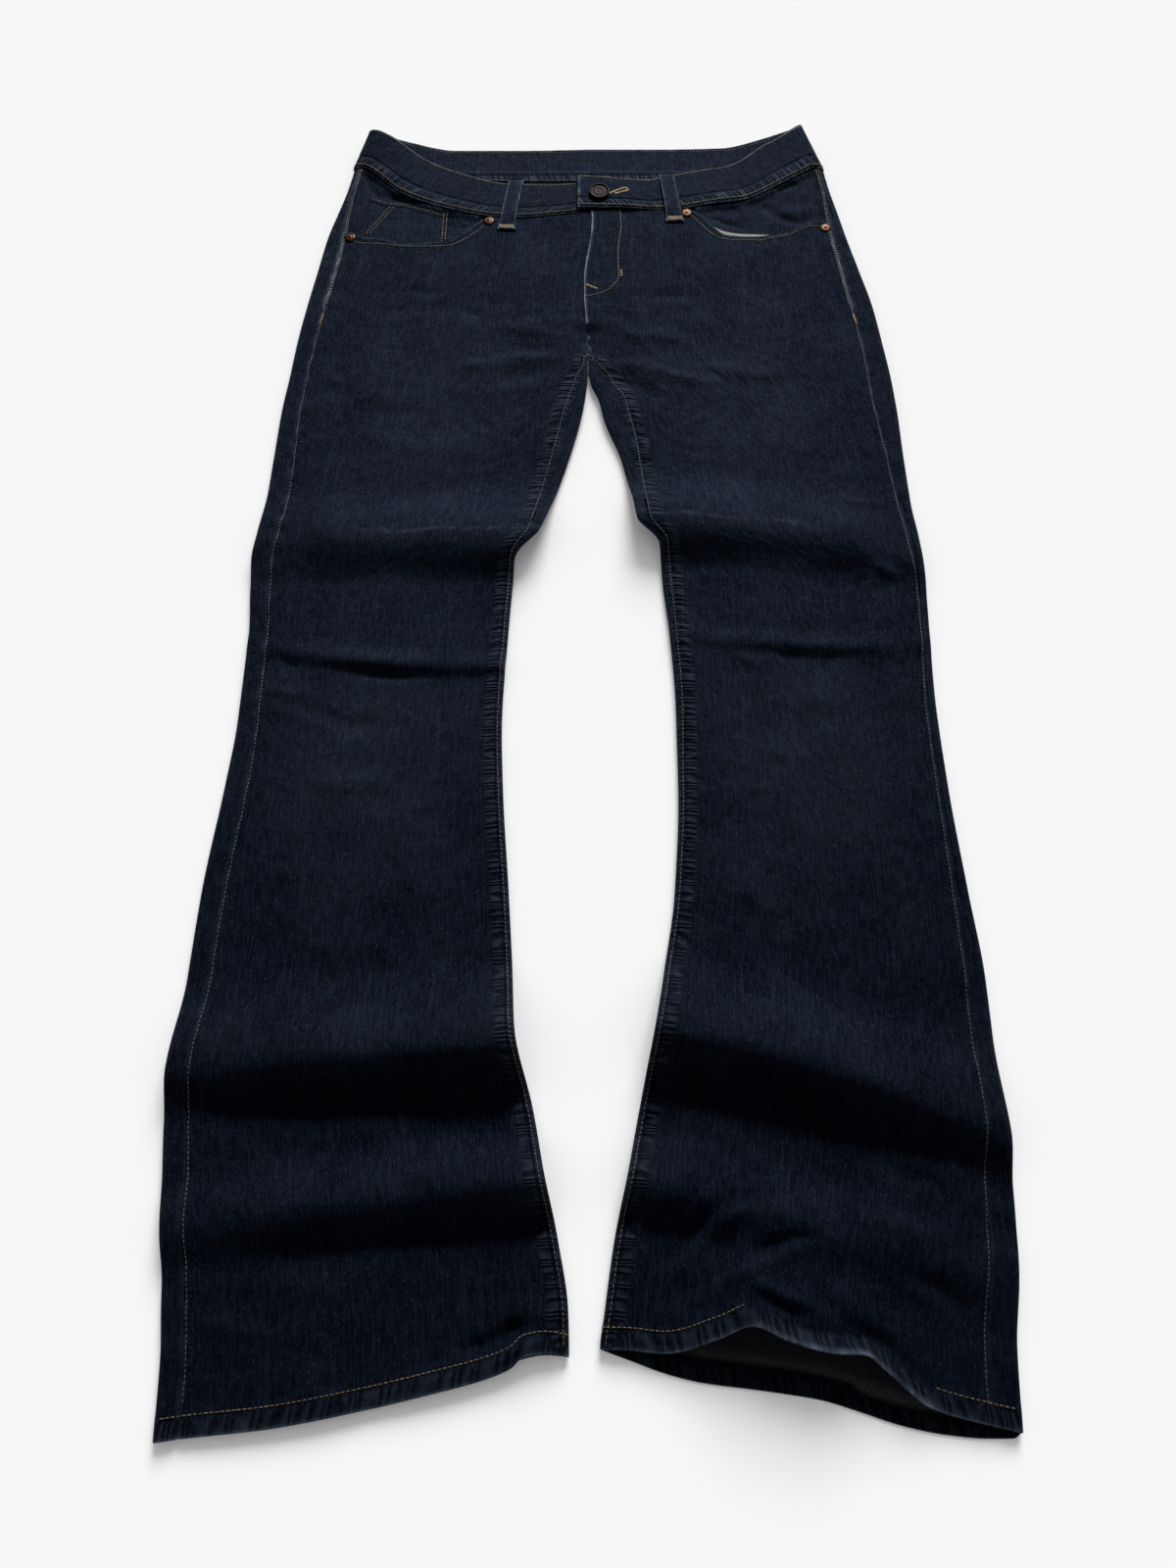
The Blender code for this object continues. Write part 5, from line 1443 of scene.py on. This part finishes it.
def tacks():
    """The bars at the front loops' lower ends, on the fly and on the outseams at the hips."""
    on_loop = GAP + PATCH_WALL + TACK_LIFT
    lines = []
    for side, sign in SIDES.items():
        across, y = FRONT_LOOPS[side][1]
        lines += [bartack(sign * across, y + up, LOOP_WIDTH, 0.0, on_loop) for up in LOOP_TACKS]
    lines += [bartack(*tack) for tack in FLY_TACKS]
    y, off, length, degrees = (HIP_TACK[key] for key in ("y", "off", "length", "degrees"))
    return lines + [bartack(sign * (float(outseam(side, y)) + off), y, length, 90 + sign * degrees)
                    for side, sign in SIDES.items()]


def sew():
    """All topstitching that shows."""
    stitch("inseam_stitching", [seam_row(side, *row) for side in SIDES for row in SEAM_ROWS])
    stitch("hip_stitching", [seam_row(side, *row) for side in SIDES for row in HIP_ROWS])
    stitch("hem_stitching", hem_rows("right") + hem_rows("left"))
    stitch("pocket_stitching", [on_front(row) for row in POCKET_ROWS])
    stitch("waistband_stitching", [band_row(share) for share in BAND_ROWS])
    stitch("waistband_inside_stitching", [band_row(share, True) for share in BAND_INSIDE_ROWS])
    stitch("fly_stitching", [on_front(FLY_ROW)])
    stitch("buttonhole_cord", [buttonhole()], math.pi / 2)
    stitch("coin_pocket_stitching", [on_coin(row) for row in COIN_ROWS])
    stitch("bar_tacks", tacks(), math.pi / 2)


# ---- stage --------------------------------------------------------------------------------------
def glowing(name, roughness, base, glow):
    """A plain grey that also gives off light of its own, for the room."""
    made, _, shader = new_finish(name, roughness)
    shader.inputs["Base Color"].default_value = (base, base, base, 1)
    shader.inputs["Specular IOR Level"].default_value = 0.0
    shader.inputs["Emission Color"].default_value = (1, 1, 1, 1)
    shader.inputs["Emission Strength"].default_value = glow
    return made


def floor():
    """Plain pale floor, partly glowing so that the shadows on it stay light."""
    far, low = ROOM["floor"], ROOM["floor_z"]
    mesh = bpy.data.meshes.new("floor")
    mesh.from_pydata([(-far, -far, 0), (far, -far, 0), (far, far, 0), (-far, far, 0)], [],
                     [(0, 1, 2, 3)])
    mesh.materials.append(glowing("pale_floor", 0.9, 0.80, 0.06))
    plane = placed("floor", mesh)
    plane.location.z = low
    return plane


def backdrop():
    """A pale shell round the room for the camera alone, so other views have no dark horizon."""
    far, low, high, sides = (ROOM[key] for key in ("wall", "wall_from", "wall_to", "wall_sides"))
    turns = np.linspace(0, 2 * math.pi, sides, endpoint=False)
    verts = [(far * math.cos(a), far * math.sin(a), z) for z in (low, high) for a in turns]
    steps = [(i, (i + 1) % sides) for i in range(sides)]
    faces = [(sides + i, sides + after, after, i) for i, after in steps]
    faces += [(2 * sides, sides + after, sides + i) for i, after in steps]
    mesh = bpy.data.meshes.new("backdrop")
    mesh.from_pydata(verts + [(0, 0, high)], [], faces)
    made = glowing("pale_wall", 1.0, 0.0, 0.93)
    made.cycles.emission_sampling = "NONE"
    mesh.materials.append(made)
    wall = placed("backdrop", mesh)
    wall.visible_diffuse = wall.visible_glossy = wall.visible_shadow = False
    wall.visible_transmission = False


def lamp_on(name, kind, energy, receivers, place, aim=(0.0, 0.0, 0.0)):
    """A lamp that shines only on some objects, from one place toward another (m)."""
    light = bpy.data.lights.new(name, kind)
    light.energy = energy
    lamp = placed(name, light)
    lamp.location = place
    lamp.rotation_euler = (Vector(place) - Vector(aim)).to_track_quat("Z", "Y").to_euler()
    lit = bpy.data.collections.new(name + "_lights")
    for piece in receivers:
        lit.objects.link(piece)
    lamp.light_linking.receiver_collection = lit
    return lamp


def lights(ground):
    """A low soft light from beyond the waist, weaker toward the hems, and a weak fill."""
    scene = bpy.context.scene
    scene.view_settings.view_transform = "Standard"
    pieces = [piece for piece in scene.objects if piece.type == "MESH" and piece != ground]
    spot = lamp_on("window", "SPOT", 560.0, pieces, WINDOW, (0.0, 0.50, 0.0))
    spot.data.spot_size, spot.data.spot_blend = math.radians(20.6), 1.0
    spot.data.shadow_soft_size = 0.52
    spot.scale = (1.7, 1.15, 1.0)
    sun = lamp_on("window_on_floor", "SUN", 4.0, [ground], WINDOW)
    sun.data.angle = math.radians(30)
    room = lamp_on("room_on_floor", "SUN", 1.55, [ground], (0.0, 0.6, 1.0))
    room.data.angle = math.radians(150)
    scene.world = bpy.data.worlds.new("room")
    scene.world.use_nodes = True
    air = scene.world.node_tree.nodes["Background"]
    air.inputs["Color"].default_value = (1.0, 1.0, 1.0, 1)
    air.inputs["Strength"].default_value = 0.05


def camera():
    """Above the hems, tilted toward the waist, as the photograph was taken."""
    lens = bpy.data.cameras.new("camera")
    lens.lens, lens.sensor_width, lens.sensor_fit = CAMERA["lens"], 36.0, "AUTO"
    eye = placed("camera", lens)
    eye.location = CAMERA["place"]
    eye.rotation_euler = (math.radians(CAMERA["tilt"]), 0, 0)
    bpy.context.scene.camera = eye


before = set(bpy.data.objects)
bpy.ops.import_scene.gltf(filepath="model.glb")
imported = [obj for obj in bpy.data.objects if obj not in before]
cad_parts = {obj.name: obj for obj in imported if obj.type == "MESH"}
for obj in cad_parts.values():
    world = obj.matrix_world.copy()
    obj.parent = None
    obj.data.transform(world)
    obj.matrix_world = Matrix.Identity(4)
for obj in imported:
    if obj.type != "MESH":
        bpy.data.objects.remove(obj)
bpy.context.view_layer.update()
make_finishes()
camera()
for side in SIDES:
    front_panel(side)
    back_panel(side)
    yoke(side)
    pocket_facing(side)
    front_loop(side)
    back_pocket(side)
patch("coin_pocket", "right", COIN_POCKET, coin_height, FACING_WALL,
      "denim")
patch("pocket_bag_left", "left", BAG, bag_height, BAG_WALL, "lining")
waistband()
for where, x in BACK_LOOPS.items():
    back_loop(where, x)
button()
for name, (x, y) in RIVETS.items():
    rivet(name, x, y)
sew()
lights(floor())
backdrop()
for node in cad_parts.values():
    if not node.hide_render:
        node.data.materials.clear()
        node.data.materials.append(FINISH["denim"])
